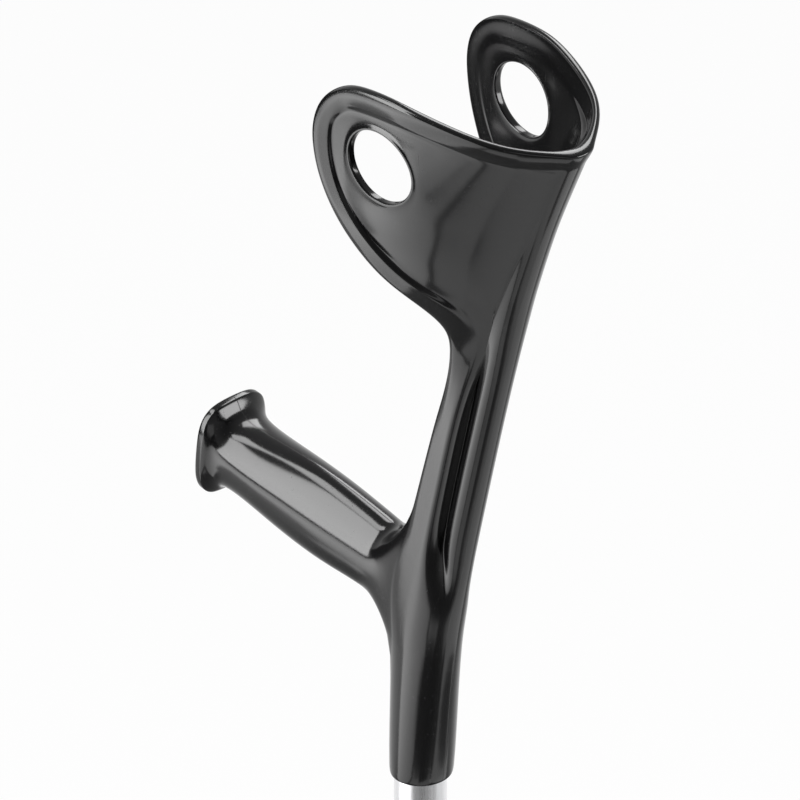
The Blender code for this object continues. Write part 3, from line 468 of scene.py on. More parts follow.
def blended_row(height):
    """Cage points of one row, from the section that rules at its height."""
    to_neck, to_cuff = between(height, TO_NECK), between(height, TO_CUFF)
    cuff = cuff_section(height) if to_cuff > 0 else [(0, 0, height)] * COLUMNS
    return [
        Vector((mix(mix(a, c, to_neck), x, to_cuff), mix(mix(b, d, to_neck), y, to_cuff),
                mix(height, z, to_cuff)))
        for (a, b), (c, d), (x, y, z) in zip(socket_section(height), neck_section(height), cuff)
    ]


def top_spoke(x):
    """Rim lines over one column of the top edge, as outer points and inner points."""
    pairs = []
    for _, inset, bulge, _ in RIM_LINES[::-1]:
        row = (track(WING_TOP, x) if x > WING_CREST_X else WING_CREST) - inset
        pairs.append(wall_pair(row, x, bulge))
    return [list(points) for points in zip(*pairs)]


def ridge_spoke(column):
    """Rim lines over one column of the ridge, as outer points and inner points."""
    outer, inner = [], []
    share = (0.52, 0.26, 0.1, 0.0)[column]
    for _, inset, bulge, _ in RIM_LINES[::-1]:
        row = WING_CREST - inset
        trough = track(FRONT_OUTLINE, back_height(row)) + bulge * RIM_INSIDE_SHARE
        wx, wy = under_wall(row, panel_rear(row), CUFF_WALL + bulge * RIM_INSIDE_SHARE)
        outer.append(ridge_points(row, max(bulge, 0.0))[column])
        inner.append(on_row(row, mix(trough, wx, share ** 1.4), wy * share))
    return outer, inner


def corner_spoke():
    """Rim lines on the diagonal of the wing's front corner."""
    tip, inside = Vector(WING_CORNER), Vector(WING_CORNER_INSIDE)
    pairs = []
    for inset, _, bulge, _ in RIM_LINES:
        at = tip.lerp(inside, inset / RIM_REACH)
        pairs.append(wall_pair(at.y, at.x, bulge))
    outer, inner = zip(*pairs)
    return outer, inner, wall_middle(tip.y, tip.x)


def grip_ring(distance, up, down, half, upper, lower, taper, lean=0.0):
    """Half ring of the grip, from its top centre down the left side to its bottom centre."""
    count = 2 * GRIP_COLUMN + len(GRIP_WINDOW_ROWS) - 1
    centre = Vector((GRIP_ROOT[0], 0, GRIP_ROOT[1]))
    forward = Vector((math.cos(GRIP_RISE), 0, math.sin(GRIP_RISE)))
    upward = Vector((-math.sin(GRIP_RISE), 0, math.cos(GRIP_RISE)))
    ring = []
    for k in range(count + 1):
        turn = math.pi * k / count
        high, wide = math.cos(turn), math.sin(turn)
        power = 2 / (upper if high > 0 else lower)
        rise = math.copysign(abs(high) ** power, high)
        width = half * wide ** power * (1 + taper * high)
        side = Vector((0, width if 0 < k < count else 0.0, 0))
        out = forward * (distance - lean * rise)
        ring.append(centre + out + upward * rise * (up if rise > 0 else down) + side)
    return ring


class Cage:
    """Half cage of the moulding, with a sharpness on some of its edges."""

    def __init__(self):
        self.mesh = bmesh.new()
        self.sharpness = self.mesh.edges.layers.float.new("crease_edge")
        self.row = self.mesh.verts.layers.float.new("row")

    def vertices(self, points):
        return [self.mesh.verts.new(point * MM) for point in points]

    def number(self, vertices, row):
        """Marks a row of a straight stretch, where fewer fine rows are enough after the smoothing."""
        for vertex in vertices:
            vertex[self.row] = row

    def face(self, *corners):
        self.mesh.faces.new(corners)

    def strip(self, low, high):
        for i in range(len(low) - 1):
            self.face(low[i], low[i + 1], high[i + 1], high[i])

    def ring(self, low, high):
        self.strip(low + low[:1], high + high[:1])

    def crease(self, line, amount):
        for a, b in zip(line, line[1:]):
            edge = self.mesh.edges.get((a, b))
            if edge:
                edge[self.sharpness] = amount


def moulding_cage():
    """Whole half cage: socket, neck, cuff with its rim, grip and wing hole."""
    cage = Cage()
    heights = SOCKET_ROWS + GRIP_WINDOW_ROWS + NECK_ROWS + CUFF_ROWS + WING_WINDOW_ROWS
    end = [Vector((p.x * MOUTH_SHARE, p.y * MOUTH_SHARE, 0.0)) for p in blended_row(0.0)]
    rows = [cage.vertices(end)] + [cage.vertices(blended_row(height)) for height in heights]
    grip_first = 1 + len(SOCKET_ROWS)
    grip_last = grip_first + len(GRIP_WINDOW_ROWS) - 1
    for r in range(1, SOCKET_ROW_LAST + 1):
        cage.number(rows[r], r)
    for r in range(grip_last, grip_last + 5):
        cage.number(rows[r], 10 + r)
    wing_first = grip_last + 1 + len(NECK_ROWS) + len(CUFF_ROWS)
    inner_window = (TIP - RIM - 4, TIP - RIM - 1)
    outer_window = (TIP + RIM + 1, TIP + RIM + 4)
    rows.append(top_panel_row(cage))
    wing_last = wing_first + len(WING_WINDOW_ROWS) - 1
    for r in range(len(rows) - 1):
        for c in range(COLUMNS - 1):
            in_grip = grip_first <= r < grip_last and c < GRIP_COLUMN
            in_wing = wing_first <= r < wing_last and (
                inner_window[0] <= c < inner_window[1] or outer_window[0] <= c < outer_window[1]
            )
            if not in_grip and not in_wing:
                cage.face(rows[r][c], rows[r][c + 1], rows[r + 1][c + 1], rows[r + 1][c])
    socket_bore(cage, rows[0])
    top_rim(cage, rows[-1])
    grip(cage, rows, grip_first, grip_last)
    wing_hole(cage, rows, wing_first, wing_last, inner_window, outer_window)
    rim_first = grip_last + 1 + len(NECK_ROWS)
    for line, (_, _, _, sharp) in enumerate(RIM_LINES):
        inner = INNER_SHARPNESS if line == 0 else 0.0
        for column, share in ((TIP + 1 + line, 1.0), (TIP - 1 - line, inner)):
            for r in range(rim_first, len(rows) - 1):
                fade = ease((r - rim_first - 2) / 2) if line < 2 else ease((r - rim_first - 1) / 2)
                cage.crease([rows[r][column], rows[r + 1][column]], sharp * share * fade)
    for r in range(grip_last, len(rows) - 1):
        sharp = NECK_GROOVE_SHARPNESS if r < rim_first else CUFF_GROOVE_SHARPNESS
        cage.crease([rows[r][GROOVE_COLUMN], rows[r + 1][GROOVE_COLUMN]], sharp)
    return cage.mesh


def top_panel_row(cage):
    """Last row under the top rim, with the diagonal of the wing's corner as its front part."""
    outer, inner, tip = corner_spoke()
    rear = panel_rear(CORNER_ROW)
    pairs = []
    for x in (-1.2, -12.6, -26.0, -40.5, rear):
        level = track(WING_TOP, x) - RIM_REACH_TOP if x > WING_CREST_X else CORNER_ROW
        pairs.append(wall_pair(level, x, RIM_LINES[-1][2] * (0.5 if x == rear else 1.0)))
    outer_panel, inner_panel = zip(*pairs)
    ridge = ridge_points(CORNER_ROW, 0.0)
    return cage.vertices([
        trough_point(CORNER_ROW), *inner_panel[::-1], *inner[::-1], tip, *outer, *outer_panel, *ridge,
    ])


def top_rim(cage, row):
    """Rim over the top edge, from the wing's corner to the back."""
    places = [(x, None) for x in (0.8, -11.2, -25.2, -40.5, panel_rear(CORNER_ROW))]
    places += [(0.0, k) for k in range(4)]
    outer_last = [row[TIP + 1 + k] for k in range(RIM)][::-1]
    inner_last = [row[TIP - 1 - k] for k in range(RIM)][::-1]
    tip_last = row[TIP]
    for index, (x, ridge_column) in enumerate(places):
        outer, inner = top_spoke(x) if ridge_column is None else ridge_spoke(ridge_column)
        base = row[TIP + RIM + 1 + index]
        new_outer = [base] + cage.vertices(outer[1:])
        crest = (outer[-1] + inner[-1]) / 2
        crest.z += RIM_LINES[0][1] - 0.75
        tip = cage.vertices([crest])[0]
        if ridge_column is None:
            inner_base = row[TIP - RIM - 1 - index]
            new_inner = [inner_base] + cage.vertices(inner[1:])
            cage.strip(inner_last, new_inner)
        else:
            new_inner = [row[0] if ridge_column == 3 else None] + cage.vertices(inner[1:])
            ridge_inner_face(cage, row, inner_last, new_inner, ridge_column)
            cage.strip(inner_last[1:], new_inner[1:])
        cage.strip(new_outer, outer_last)
        cage.face(outer_last[-1], new_outer[-1], tip, tip_last)
        cage.face(inner_last[-1], tip_last, tip, new_inner[-1])
        for line, (_, _, _, sharp) in enumerate(RIM_LINES):
            softer = 1.0 if line == 0 else TOP_SHARPNESS
            cage.crease([outer_last[RIM - 1 - line], new_outer[RIM - 1 - line]], sharp * softer)
        cage.crease([inner_last[-1], new_inner[-1]], RIM_LINES[0][3] * INNER_SHARPNESS)
        outer_last, inner_last, tip_last = new_outer, new_inner, tip


def ridge_inner_face(cage, row, last, new, ridge_column):
    """Faces that lead the inner wall's wide back column up to the rim's narrower ones."""
    wall, trough = row[1], row[0]
    if ridge_column == 0:
        cage.face(wall, last[1], new[1])
    elif ridge_column == 1:
        cage.face(wall, last[1], new[1], trough)
    else:
        cage.face(trough, last[1], new[1])


def socket_bore(cage, row):
    """Mouth of the socket and the bore that the tube is pressed into."""
    def circle(radius, height):
        points = []
        for vertex in row:
            turn = math.atan2(vertex.co.y, vertex.co.x)
            points.append(Vector((radius * math.cos(turn), radius * math.sin(turn), height)))
        points[0].y = points[-1].y = 0.0
        return cage.vertices(points)

    mouth = circle(SOCKET_BORE + 0.5, 0.1)
    lip = circle(SOCKET_BORE, 0.8)
    for low, high in ((row, mouth), (mouth, lip)):
        cage.strip(high, low)
    cage.crease(mouth, MOUTH_SHARPNESS)


def grip(cage, rows, first, last):
    """Grip grown out of the window that the front of the neck leaves open."""
    boundary = [rows[last][c] for c in range(GRIP_COLUMN)]
    boundary += [rows[r][GRIP_COLUMN] for r in range(last, first, -1)]
    boundary += [rows[first][c] for c in range(GRIP_COLUMN, -1, -1)]
    previous = boundary
    for index, section in enumerate(GRIP_SECTIONS):
        ring = cage.vertices(grip_ring(*section))
        cage.strip(previous, ring)
        if index in FLANGE_RINGS:
            cage.crease(ring, FLANGE_SHARPNESS)
        if index in STRAIGHT_RINGS:
            cage.number(ring, 30 + index)
        previous = ring
    count = len(previous) - 1
    spine = [cage.mesh.verts.new((v.co.x, 0.0, v.co.z)) for v in previous[2:count - 1]]
    cage.face(previous[0], previous[1], previous[2], spine[0])
    for k in range(len(spine) - 1):
        cage.face(spine[k], previous[k + 2], previous[k + 3], spine[k + 1])
    cage.face(spine[-1], previous[count - 2], previous[count - 1], previous[count])


def wing_hole(cage, rows, first, last, inner_window, outer_window):
    """Round hole of the wing, with a small raised lip on the outer wall."""
    outer = window_loop(rows, first, last, outer_window[0], outer_window[1])
    inner = window_loop(rows, first, last, inner_window[1], inner_window[0])
    sunk = PANEL_SINK[-1][1]
    inside = CUFF_WALL + SINK_INSIDE_SHARE * sunk
    # Depth under the wall, spread beyond the hole and sharpness of each ring
    steps = (
        (sunk, 2.6, 0.1), (sunk - 0.4, 1.3, 0.35), (sunk - 0.35, 0.4, 0.5), (sunk + 0.5, 0.0, 0.3),
        (inside + 0.3, 0.0, 0.3), (inside + 0.75, 0.6, 0.3), (inside + 0.4, 1.8, 0.1),
    )
    previous = outer
    for depth, spread, sharp in steps:
        ring = cage.vertices(hole_ring(depth, spread))
        cage.ring(previous, ring)
        cage.crease(ring + ring[:1], sharp)
        previous = ring
    cage.ring(previous, inner)


def window_loop(rows, first, last, front, rear):
    """Vertices round a window, from its lower front corner up, back, down and forward again."""
    step = 1 if rear > front else -1
    loop = [rows[r][front] for r in range(first, last)]
    loop += [rows[last][c] for c in range(front, rear, step)]
    loop += [rows[r][rear] for r in range(last, first, -1)]
    loop += [rows[first][c] for c in range(rear, front, -step)]
    return loop


def hole_ring(depth, spread):
    """Ring round the hole, spread wider than it, at a depth under the wall, in window_loop's order."""
    ring = []
    sides = len(WING_WINDOW_ROWS) - 1
    for k in range(4 * sides):
        turn = math.radians(-45.0 + 90.0 * k / sides)
        x = WING_HOLE_X + (WING_HOLE_REACH[0] + spread) * math.cos(turn)
        z = WING_HOLE_Z + (WING_HOLE_REACH[1] + spread) * math.sin(turn)
        ring.append(Vector((*under_wall(z, x, depth), z)))
    return ring


def loose(name, data):
    """New object of a mesh, a light or a camera."""
    made = bpy.data.objects.new(name, data)
    bpy.context.scene.collection.objects.link(made)
    return made


def solid(name, shape, finish):
    """Smooth mesh object in its finish, from a bmesh that is freed."""
    bmesh.ops.recalc_face_normals(shape, faces=shape.faces[:])
    mesh = bpy.data.meshes.new(name)
    shape.to_mesh(mesh)
    shape.free()
    mesh.materials.append(finish)
    mesh.shade_smooth()
    return loose(name, mesh)


def baked(source, name, body, slot_name, node):
    """Plain mesh object from a source's modifiers, put on its body in place of a CAD node."""
    graph = bpy.context.evaluated_depsgraph_get()
    mesh = bpy.data.meshes.new_from_object(source.evaluated_get(graph))
    mesh.transform(source.matrix_world)
    bpy.data.objects.remove(source, do_unlink=True)
    piece = loose(name, mesh)
    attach(piece, body)
    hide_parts(node)
    return piece


def thin_and_close(mesh):
    """Takes fine rows out of the straight stretches and closes the bore that the tube sits in.

    Every fourth fine row stays in the socket, and every second one in the neck and in the grip.
    """
    shape = bmesh.new()
    shape.from_mesh(mesh)
    row = shape.verts.layers.float["row"]
    spare = []
    for edge in shape.edges:
        low, high = (vertex[row] for vertex in edge.verts)
        if abs(low - high) > 0.01 or low < 1.01:
            continue
        step = round(low * FINE_ROWS)
        if step % (4 if low < SOCKET_ROW_LAST else 2) and abs(low * FINE_ROWS - step) < 0.02:
            spare.append(edge)
    bmesh.ops.dissolve_edges(shape, edges=spare, use_verts=True)
    lip = [edge for edge in shape.edges if edge.is_boundary]
    grown = bmesh.ops.extrude_edge_only(shape, edges=lip)["geom"]
    for item in grown:
        if isinstance(item, bmesh.types.BMVert):
            item.co.z = SOCKET_MOUTH + SOCKET_DEPTH * MM
    grown_edges = [item for item in grown if isinstance(item, bmesh.types.BMEdge)]
    bmesh.ops.contextual_create(shape, geom=grown_edges)
    for edge in grown_edges:
        edge.smooth = False
    bmesh.ops.recalc_face_normals(shape, faces=shape.faces[:])
    shape.verts.layers.float.remove(row)
    shape.to_mesh(mesh)
    shape.free()


def make_moulding(finish):
    """Cuff, neck, grip and socket as one smooth skin."""
    source = solid("moulding_cage", moulding_cage(), finish)
    source.location = (0, 0, SOCKET_MOUTH)
    mirror = source.modifiers.new("other_side", "MIRROR")
    mirror.use_axis = (False, True, False)
    mirror.use_clip = True
    mirror.merge_threshold = 0.01 * MM
    smooth = source.modifiers.new("smooth", "SUBSURF")
    smooth.levels = smooth.render_levels = SMOOTHING
    bpy.context.view_layer.update()
    piece = baked(source, "moulded_cuff_and_grip", "handle_unit", "black_polypropylene", "handle_moulding")
    thin_and_close(piece.data)


class Value:
    """A node's output, whose arithmetic adds Math nodes to its graph."""

    def __init__(self, graph, socket):
        self.graph = graph
        self.socket = socket

    def maths(operation):
        """Method that adds a Math node of one operation."""
        def method(self, *others):
            return self.graph.node("ShaderNodeMath", {"operation": operation}, self, *others)
        return method

    __add__ = __radd__ = maths("ADD")
    __sub__ = maths("SUBTRACT")
    __mul__ = maths("MULTIPLY")
    __pow__ = maths("POWER")
    __abs__ = maths("ABSOLUTE")
    __gt__ = maths("GREATER_THAN")
    larger = maths("MAXIMUM")
    atan2 = maths("ARCTAN2")
    wave = maths("SINE")

    def hypot(self, other):
        return (self * self + other * other) ** 0.5

    def band(self, low, high, start=0.0, end=1.0):
        """From start at low to end at high, smooth between, level beyond. High may lie below low."""
        settings = {"interpolation_type": "SMOOTHSTEP", "clamp": True}
        return self.graph.node("ShaderNodeMapRange", settings, self, low, high, start, end)

    def near(self, centre, width):
        """1 on a line at centre, falling to 0 at width to either side."""
        return abs(self - centre).band(width, width * 0.2)


class Graph:
    """Adds nodes to one node tree."""

    def __init__(self, tree):
        self.tree = tree

    def node(self, kind, settings, *values, output=0, **named):
        """New node with its settings, then its inputs in order or by name, as one output's Value."""
        made = self.tree.nodes.new(kind)
        for key, setting in settings.items():
            setattr(made, key, setting)
        for socket, value in zip([s for s in made.inputs if s.enabled], values):
            self.feed(socket, value)
        for key, value in named.items():
            self.feed(made.inputs[key.replace("_", " ")], value)
        return Value(self, made.outputs[output])

    def feed(self, socket, value):
        """Links an input to another node's output, or sets it."""
        source = value.socket if isinstance(value, Value) else value
        if isinstance(source, bpy.types.NodeSocket):
            self.tree.links.new(source, socket)
        else:
            socket.default_value = source

    def outputs(self, kind, *names):
        """Some outputs of a new node."""
        made = self.tree.nodes.new(kind)
        return [Value(self, made.outputs[name]) for name in names]

    def axes(self, vector):
        """X, Y and Z of a vector."""
        split = self.node("ShaderNodeSeparateXYZ", {}, vector).socket.node
        return [Value(self, socket) for socket in split.outputs]

    def along(self, vector, direction):
        """How far a vector reaches along a direction."""
        settings = {"operation": "DOT_PRODUCT"}
        return self.node("ShaderNodeVectorMath", settings, vector, direction, output="Value")

    def blend(self, factor, first, second):
        """Colour between two colours."""
        made = self.tree.nodes.new("ShaderNodeMix")
        made.data_type = "RGBA"
        self.feed(made.inputs["Factor"], factor)
        for index, colour in ((6, first), (7, second)):
            made.inputs[index].default_value = (*colour, 1.0)
        return Value(self, made.outputs[2])

    def choose(self, share, first, second, end):
        """Ends the graph with a share of a second shader over a first one."""
        picked = self.node("ShaderNodeMixShader", {}, share, first.outputs[0], second)
        self.feed(self.tree.nodes[end].inputs[0], picked)


class Shader(Graph):
    """Builds one material's nodes."""

    def __init__(self, name, colour, roughness, metallic=0.0):
        self.material = bpy.data.materials.new(name)
        self.material.use_nodes = True
        super().__init__(self.material.node_tree)
        self.surface = self.tree.nodes["Principled BSDF"]
        self.set("Base Color", (*colour, 1.0))
        self.set("Roughness", roughness)
        self.set("Metallic", metallic)
        self.place = self.outputs("ShaderNodeTexCoord", "Object")[0]
        self.x, self.y, self.z = self.axes(self.place)

    def set(self, name, value):
        self.feed(self.surface.inputs[name], value)

    def noise(self, scale, detail=2.0, rough=0.5, at=None):
        """Noise in the range 0 to 1."""
        return self.node(
            "ShaderNodeTexNoise", {}, Vector=at or self.place, Scale=scale, Detail=detail, Roughness=rough
        )

    def streaks(self, scales, detail=1.0, rough=0.5, scale=1.0):
        """Noise with its own scale along each axis, drawn out along the axis of the smallest one."""
        stretched = self.node("ShaderNodeMapping", {}, Vector=self.place, Scale=scales)
        return self.noise(scale, detail, rough, stretched)

    def cells(self, scale):
        return self.node("ShaderNodeTexVoronoi", {}, Vector=self.place, Scale=scale)

    def relief(self, height, distance):
        """Sets the normal from a height of 0 to 1 that is this many metres high."""
        self.set("Normal", self.node("ShaderNodeBump", {}, Strength=1.0, Distance=distance, Height=height))


def moulded_gloss():
    """Black polypropylene: polished-mould gloss, flow marks, hairline scratches and a parting line."""
    black, scuffed = (0.0028, 0.0028, 0.0030), (0.030, 0.030, 0.032)
    s = Shader("moulded_gloss", black, 0.16)
    flow = s.noise(14.0, 3.0, 0.55)
    pits = s.cells(2300.0).band(0.10, 0.04)
    specks = s.noise(900.0, 1.0, 0.5).band(0.70, 0.76)
    upright = s.streaks((2400.0, 2400.0, 60.0)).band(0.68, 0.74)
    upright = upright * s.streaks((3.0, 3.0, 0.35), 2.0, 0.6, scale=60.0).band(0.55, 0.7)
    crossed = s.streaks((90.0, 2100.0, 1700.0)).band(0.70, 0.75)
    scratches = upright + crossed * s.noise(22.0, 1.0).band(0.58, 0.7)
    s.set("Roughness", 0.085 + flow * 0.10 + scratches * 0.16 + specks * 0.10)
    s.set("Base Color", s.blend(specks * 0.5 + scratches * 0.3, black, scuffed))
    parting = s.y.near(0.0, 0.00022) * (s.x > -0.020)
    peel = s.noise(170.0, 2.0, 0.5)
    s.relief(peel * 0.30 + parting * 1.4 - scratches * 0.12 - pits * 0.10, 0.00004)
    s.set("Specular IOR Level", 0.5)
    return s.material


def drawn_aluminium(name, tone, rub):
    """Anodised tube: fine lines along its draw, satin haze, rub marks and handling scratches."""
    light = (tone, tone, tone + 0.012)
    dull = (tone * 0.86, tone * 0.865, tone * 0.885)
    s = Shader(name, light, 0.25, 1.0)
    lines = s.streaks((5200.0, 5200.0, 18.0), 2.0, 0.6)
    cloud = s.noise(26.0, 3.0, 0.6)
    scratches = s.streaks((1500.0, 1500.0, 40.0)).band(0.70, 0.76)
    rings = s.streaks((40.0, 40.0, 2600.0)).band(0.71, 0.76)
    wear = (scratches + rings * 0.6) * cloud.band(0.45, 0.62)
    button_track = abs(s.y.atan2(s.x)).band(2.98, 3.08) * rub
    s.set("Roughness", 0.20 + lines * 0.10 + cloud * 0.07 + wear * 0.12 + button_track * 0.14)
    s.set("Base Color", s.blend(cloud * 0.5 + button_track * 0.4 + wear * 0.3, light, dull))
    s.relief(lines * 0.5 - wear * 0.5, 0.000012)
    return s.material


def moulded_satin(name, colour, lighter, roughness, grain):
    """Spark-eroded plastic with a fine even grain and slightly polished high spots."""
    s = Shader(name, colour, roughness)
    fine = s.noise(grain, 2.0, 0.6)
    wide = s.noise(30.0, 2.0, 0.5)
    rubs = s.streaks((1600.0, 1600.0, 70.0)).band(0.70, 0.76) * wide.band(0.4, 0.6)
    s.set("Roughness", roughness + (fine - 0.5) * 0.18 + wide * 0.06 - rubs * 0.14)
    s.set("Base Color", s.blend(fine * 0.35 + rubs * 0.4, colour, lighter))
    s.relief(fine, 0.00003)
    return s.material


def foot_rubber():
    """Matt grey rubber: fine bloom, moulding dust, scuffed and dirty at the sole's edge."""
    s = Shader("foot_rubber", (0.030, 0.030, 0.032), 0.7)
    grain = s.noise(1400.0, 3.0, 0.6)
    bloom = s.noise(45.0, 4.0, 0.62)
    scuff = s.streaks((420.0, 420.0, 900.0), 3.0, 0.65).band(0.48, 0.62) * s.z.band(0.012, 0.0)
    dust = bloom.band(0.45, 0.75) * 0.45 + scuff * 0.6
    s.set("Base Color", s.blend(dust, (0.027, 0.027, 0.029), (0.105, 0.100, 0.092)))
    s.set("Roughness", 0.62 + bloom * 0.16 + scuff * 0.1)
    s.relief(grain * 0.6 + scuff * 0.8, 0.00005)
    return s.material


def plated_steel():
    """Bright zinc plate, turned rings on the dome and a worn crown."""
    s = Shader("plated_steel", (0.62, 0.63, 0.65), 0.28, 1.0)
    radius = s.y.hypot(s.z - BUTTON_HEIGHT)
    rings = (radius * 24000.0).wave()
    crown = radius.band(0.0026, 0.0010)
    mottle = s.noise(900.0, 3.0, 0.6)
    s.set("Roughness", 0.20 + mottle * 0.16 - crown * 0.08)
    s.set("Base Color", s.blend(crown * 0.5 + mottle * 0.3, (0.58, 0.59, 0.62), (0.70, 0.69, 0.66)))
    s.relief(rings * 0.5 + mottle * 0.3, 0.000006)
    return s.material


def rolled_steel(name, colour, tint):
    """Cold-rolled strip: rolling lines, blue-grey scale and small stains."""
    s = Shader(name, colour, 0.35, 1.0)
    lines = s.streaks((900.0, 6000.0, 60.0), 2.0, 0.6)
    stain = s.noise(240.0, 4.0, 0.65).band(0.45, 0.72)
    s.set("Roughness", 0.27 + lines * 0.14 + stain * 0.2)
    s.set("Base Color", s.blend(stain, colour, tint))
    s.relief(lines, 0.000008)
    return s.material


class Tree(Graph):
    """Builds one Geometry Nodes tree with named inputs, ended by Realize Instances and Set Material."""

    def __init__(self, name):
        super().__init__(bpy.data.node_groups.new(name, "GeometryNodeTree"))
        self.tree.interface.new_socket("Geometry", in_out="OUTPUT", socket_type="NodeSocketGeometry")
        self.start = self.tree.nodes.new("NodeGroupInput")
        self.body, self.finish = self.inputs(Geometry="Geometry", Finish="Material")

    def inputs(self, **kinds):
        """New inputs of the tree, by name, with _ for a space, and kind."""
        made = []
        for key, kind in kinds.items():
            name = key.replace("_", " ")
            self.tree.interface.new_socket(name, in_out="INPUT", socket_type="NodeSocket" + kind)
            made.append(Value(self, self.start.outputs[name]))
        return made

    def vector(self, x, y, z):
        return self.node("ShaderNodeCombineXYZ", {}, x, y, z)

    def cut_with(self, tool, places):
        """Ends the tree: the body less a tool at each place, as one plain mesh in its finish."""
        tools = self.node("GeometryNodeInstanceOnPoints", {}, places, Instance=tool)
        whole = self.node("GeometryNodeRealizeInstances", {}, tools)
        settings = {"operation": "DIFFERENCE", "solver": "EXACT"}
        cut = self.node("GeometryNodeMeshBoolean", settings, Mesh_1=self.body, Mesh_2=whole)
        plain = self.node("GeometryNodeRealizeInstances", {}, cut)
        smooth = self.node("GeometryNodeSetShadeSmooth", {}, plain)
        painted = self.node("GeometryNodeSetMaterial", {}, smooth, Material=self.finish)
        self.feed(self.tree.nodes.new("NodeGroupOutput").inputs[0], painted)
        return self.tree


def hole_row_tree():
    """Row of round holes through the back wall of a tube, one above the other."""
    tree = Tree("height_hole_row")
    count, pitch, lowest, radius, wall_at = tree.inputs(
        Hole_Count="Int", Pitch="Float", Lowest_Hole="Float", Hole_Radius="Float", Tube_Radius="Float",
    )
    line = tree.node(
        "GeometryNodeMeshLine", {"mode": "OFFSET"}, Count=count,
        Start_Location=tree.vector(wall_at * -1.0, 0.0, lowest), Offset=tree.vector(0.0, 0.0, pitch),
    )
    drill = tree.node("GeometryNodeMeshCylinder", {}, Vertices=56, Radius=radius, Depth=wall_at)
    lying = tree.node("GeometryNodeTransform", {}, drill, Rotation=(0.0, math.pi / 2, 0.0))
    return tree.cut_with(lying, line)


def flute_ring_tree():
    """Round-bottomed upright flutes cut into the outside of a turned piece, evenly round it."""
    tree = Tree("flute_ring")
    count, ring, radius, length, middle = tree.inputs(
        Flute_Count="Int", Ring_Radius="Float", Flute_Radius="Float", Flute_Length="Float",
        Middle_Height="Float",
    )
    circle = tree.node("GeometryNodeMeshCircle", {"fill_type": "NONE"}, Vertices=count, Radius=ring)
    raised = tree.node("GeometryNodeTransform", {}, circle, Translation=tree.vector(0.0, 0.0, middle))
    mill = tree.node("GeometryNodeMeshCylinder", {}, Vertices=20, Radius=radius, Depth=length)
    return tree.cut_with(mill, raised)


def apply_tree(source, group, **values):
    """Geometry Nodes modifier on a source, with its named inputs set before it is evaluated."""
    modifier = source.modifiers.new(group.name, "NODES")
    modifier.node_group = group
    for item in group.interface.items_tree:
        key = item.name.replace(" ", "_")
        if item.in_out == "INPUT" and key in values:
            modifier[item.identifier] = values[key]


def rounded_edges(source, width):
    """Rounds the edges of a source by a width in millimetres."""
    edge = source.modifiers.new("edge", "BEVEL")
    edge.width = width * MM
    edge.segments = 2
    edge.limit_method = "ANGLE"
    edge.angle_limit = math.radians(30.0)
    edge.harden_normals = True


def arc(centre, radius, start, end, steps):
    """Points of a circular arc in the (radius, height) plane, angles in degrees."""
    turns = [math.radians(mix(start, end, i / steps)) for i in range(steps + 1)]
    return [(centre[0] + radius * math.cos(t), centre[1] + radius * math.sin(t)) for t in turns]


def lathe(name, profile, steps, finish):
    """Closed ring profile in millimetres turned about Z; its points run down the outer side."""
    shape = bmesh.new()
    turns = [2 * math.pi * (k + 0.5) / steps for k in range(steps)]
    rings = []
    for radius, height in profile:
        reach, z = radius * MM, height * MM
        around = [(reach * math.cos(turn), reach * math.sin(turn), z) for turn in turns]
        rings.append([shape.verts.new(point) for point in (around if radius > 1e-6 else [(0, 0, z)])])
    pairs = list(zip(rings, rings[1:]))
    if len(rings[0]) > 1 and len(rings[-1]) > 1:
        pairs.append((rings[-1], rings[0]))
    for upper, lower in pairs:
        for k in range(steps):
            j = (k + 1) % steps
            corners = [ring[i % len(ring)] for ring, i in ((lower, k), (lower, j), (upper, j), (upper, k))]
            shape.faces.new(list(dict.fromkeys(corners)))
    return solid(name, shape, finish)


def turned(piece, profile, steps, finish, rounding, group=None, **values):
    """Turned piece (name, body, slot, CAD node; the slot is not used), cut by a tree with its values, every
    edge broken.
    """
    source = lathe(piece[0] + "_source", profile, steps, finish)
    if group:
        apply_tree(source, group, Finish=finish, **values)
    rounded_edges(source, rounding)
    baked(source, *piece)


def make_tube(piece, sizes, hole_count, lowest_hole, finish, group):
    """Drawn tube with its drilled holes."""
    outer, bore, bottom, top = sizes
    profile = [(bore, top), (outer, top), (outer, bottom), (bore, bottom)]
    turned(
        piece, profile, 96, finish, 0.25, group, Hole_Count=hole_count, Pitch=HOLE_PITCH,
        Lowest_Hole=lowest_hole, Hole_Radius=HOLE_RADIUS, Tube_Radius=outer * MM,
    )


def make_tubes(metal, leg_metal):
    """Upper tube with its row of height holes, and lower tube with the button's one hole."""
    group = hole_row_tree()
    upper = ("drilled_upper_tube", "handle_unit", "anodised_aluminium", "upper_tube")
    make_tube(upper, UPPER_TUBE, HOLE_COUNT, LOWEST_HOLE, metal, group)
    lower = ("sliding_lower_tube", "leg", "leg_aluminium", "lower_tube")
    make_tube(lower, LOWER_TUBE, 1, BUTTON_HEIGHT, leg_metal, group)


def make_collar(finish, group):
    """Sleeve over the upper tube's lower end, with finger flutes and an inward lip."""
    profile = [(11.3, 107.7)] + arc((12.2, 106.2), 1.5, 90, 0, 6) + arc((12.2, 85.2), 1.5, 0, -90, 6)
    profile += [(9.8, 83.7), (9.8, 89.7), (11.3, 89.7)]
    piece = ("fluted_collar", "handle_unit", "collar_plastic", "anti_rattle_collar")
    turned(
        piece, profile, 144, finish, 0.12, group, Flute_Count=36, Ring_Radius=14.15 * MM,
        Flute_Radius=0.85 * MM, Flute_Length=13.0 * MM, Middle_Height=95.7 * MM,
    )


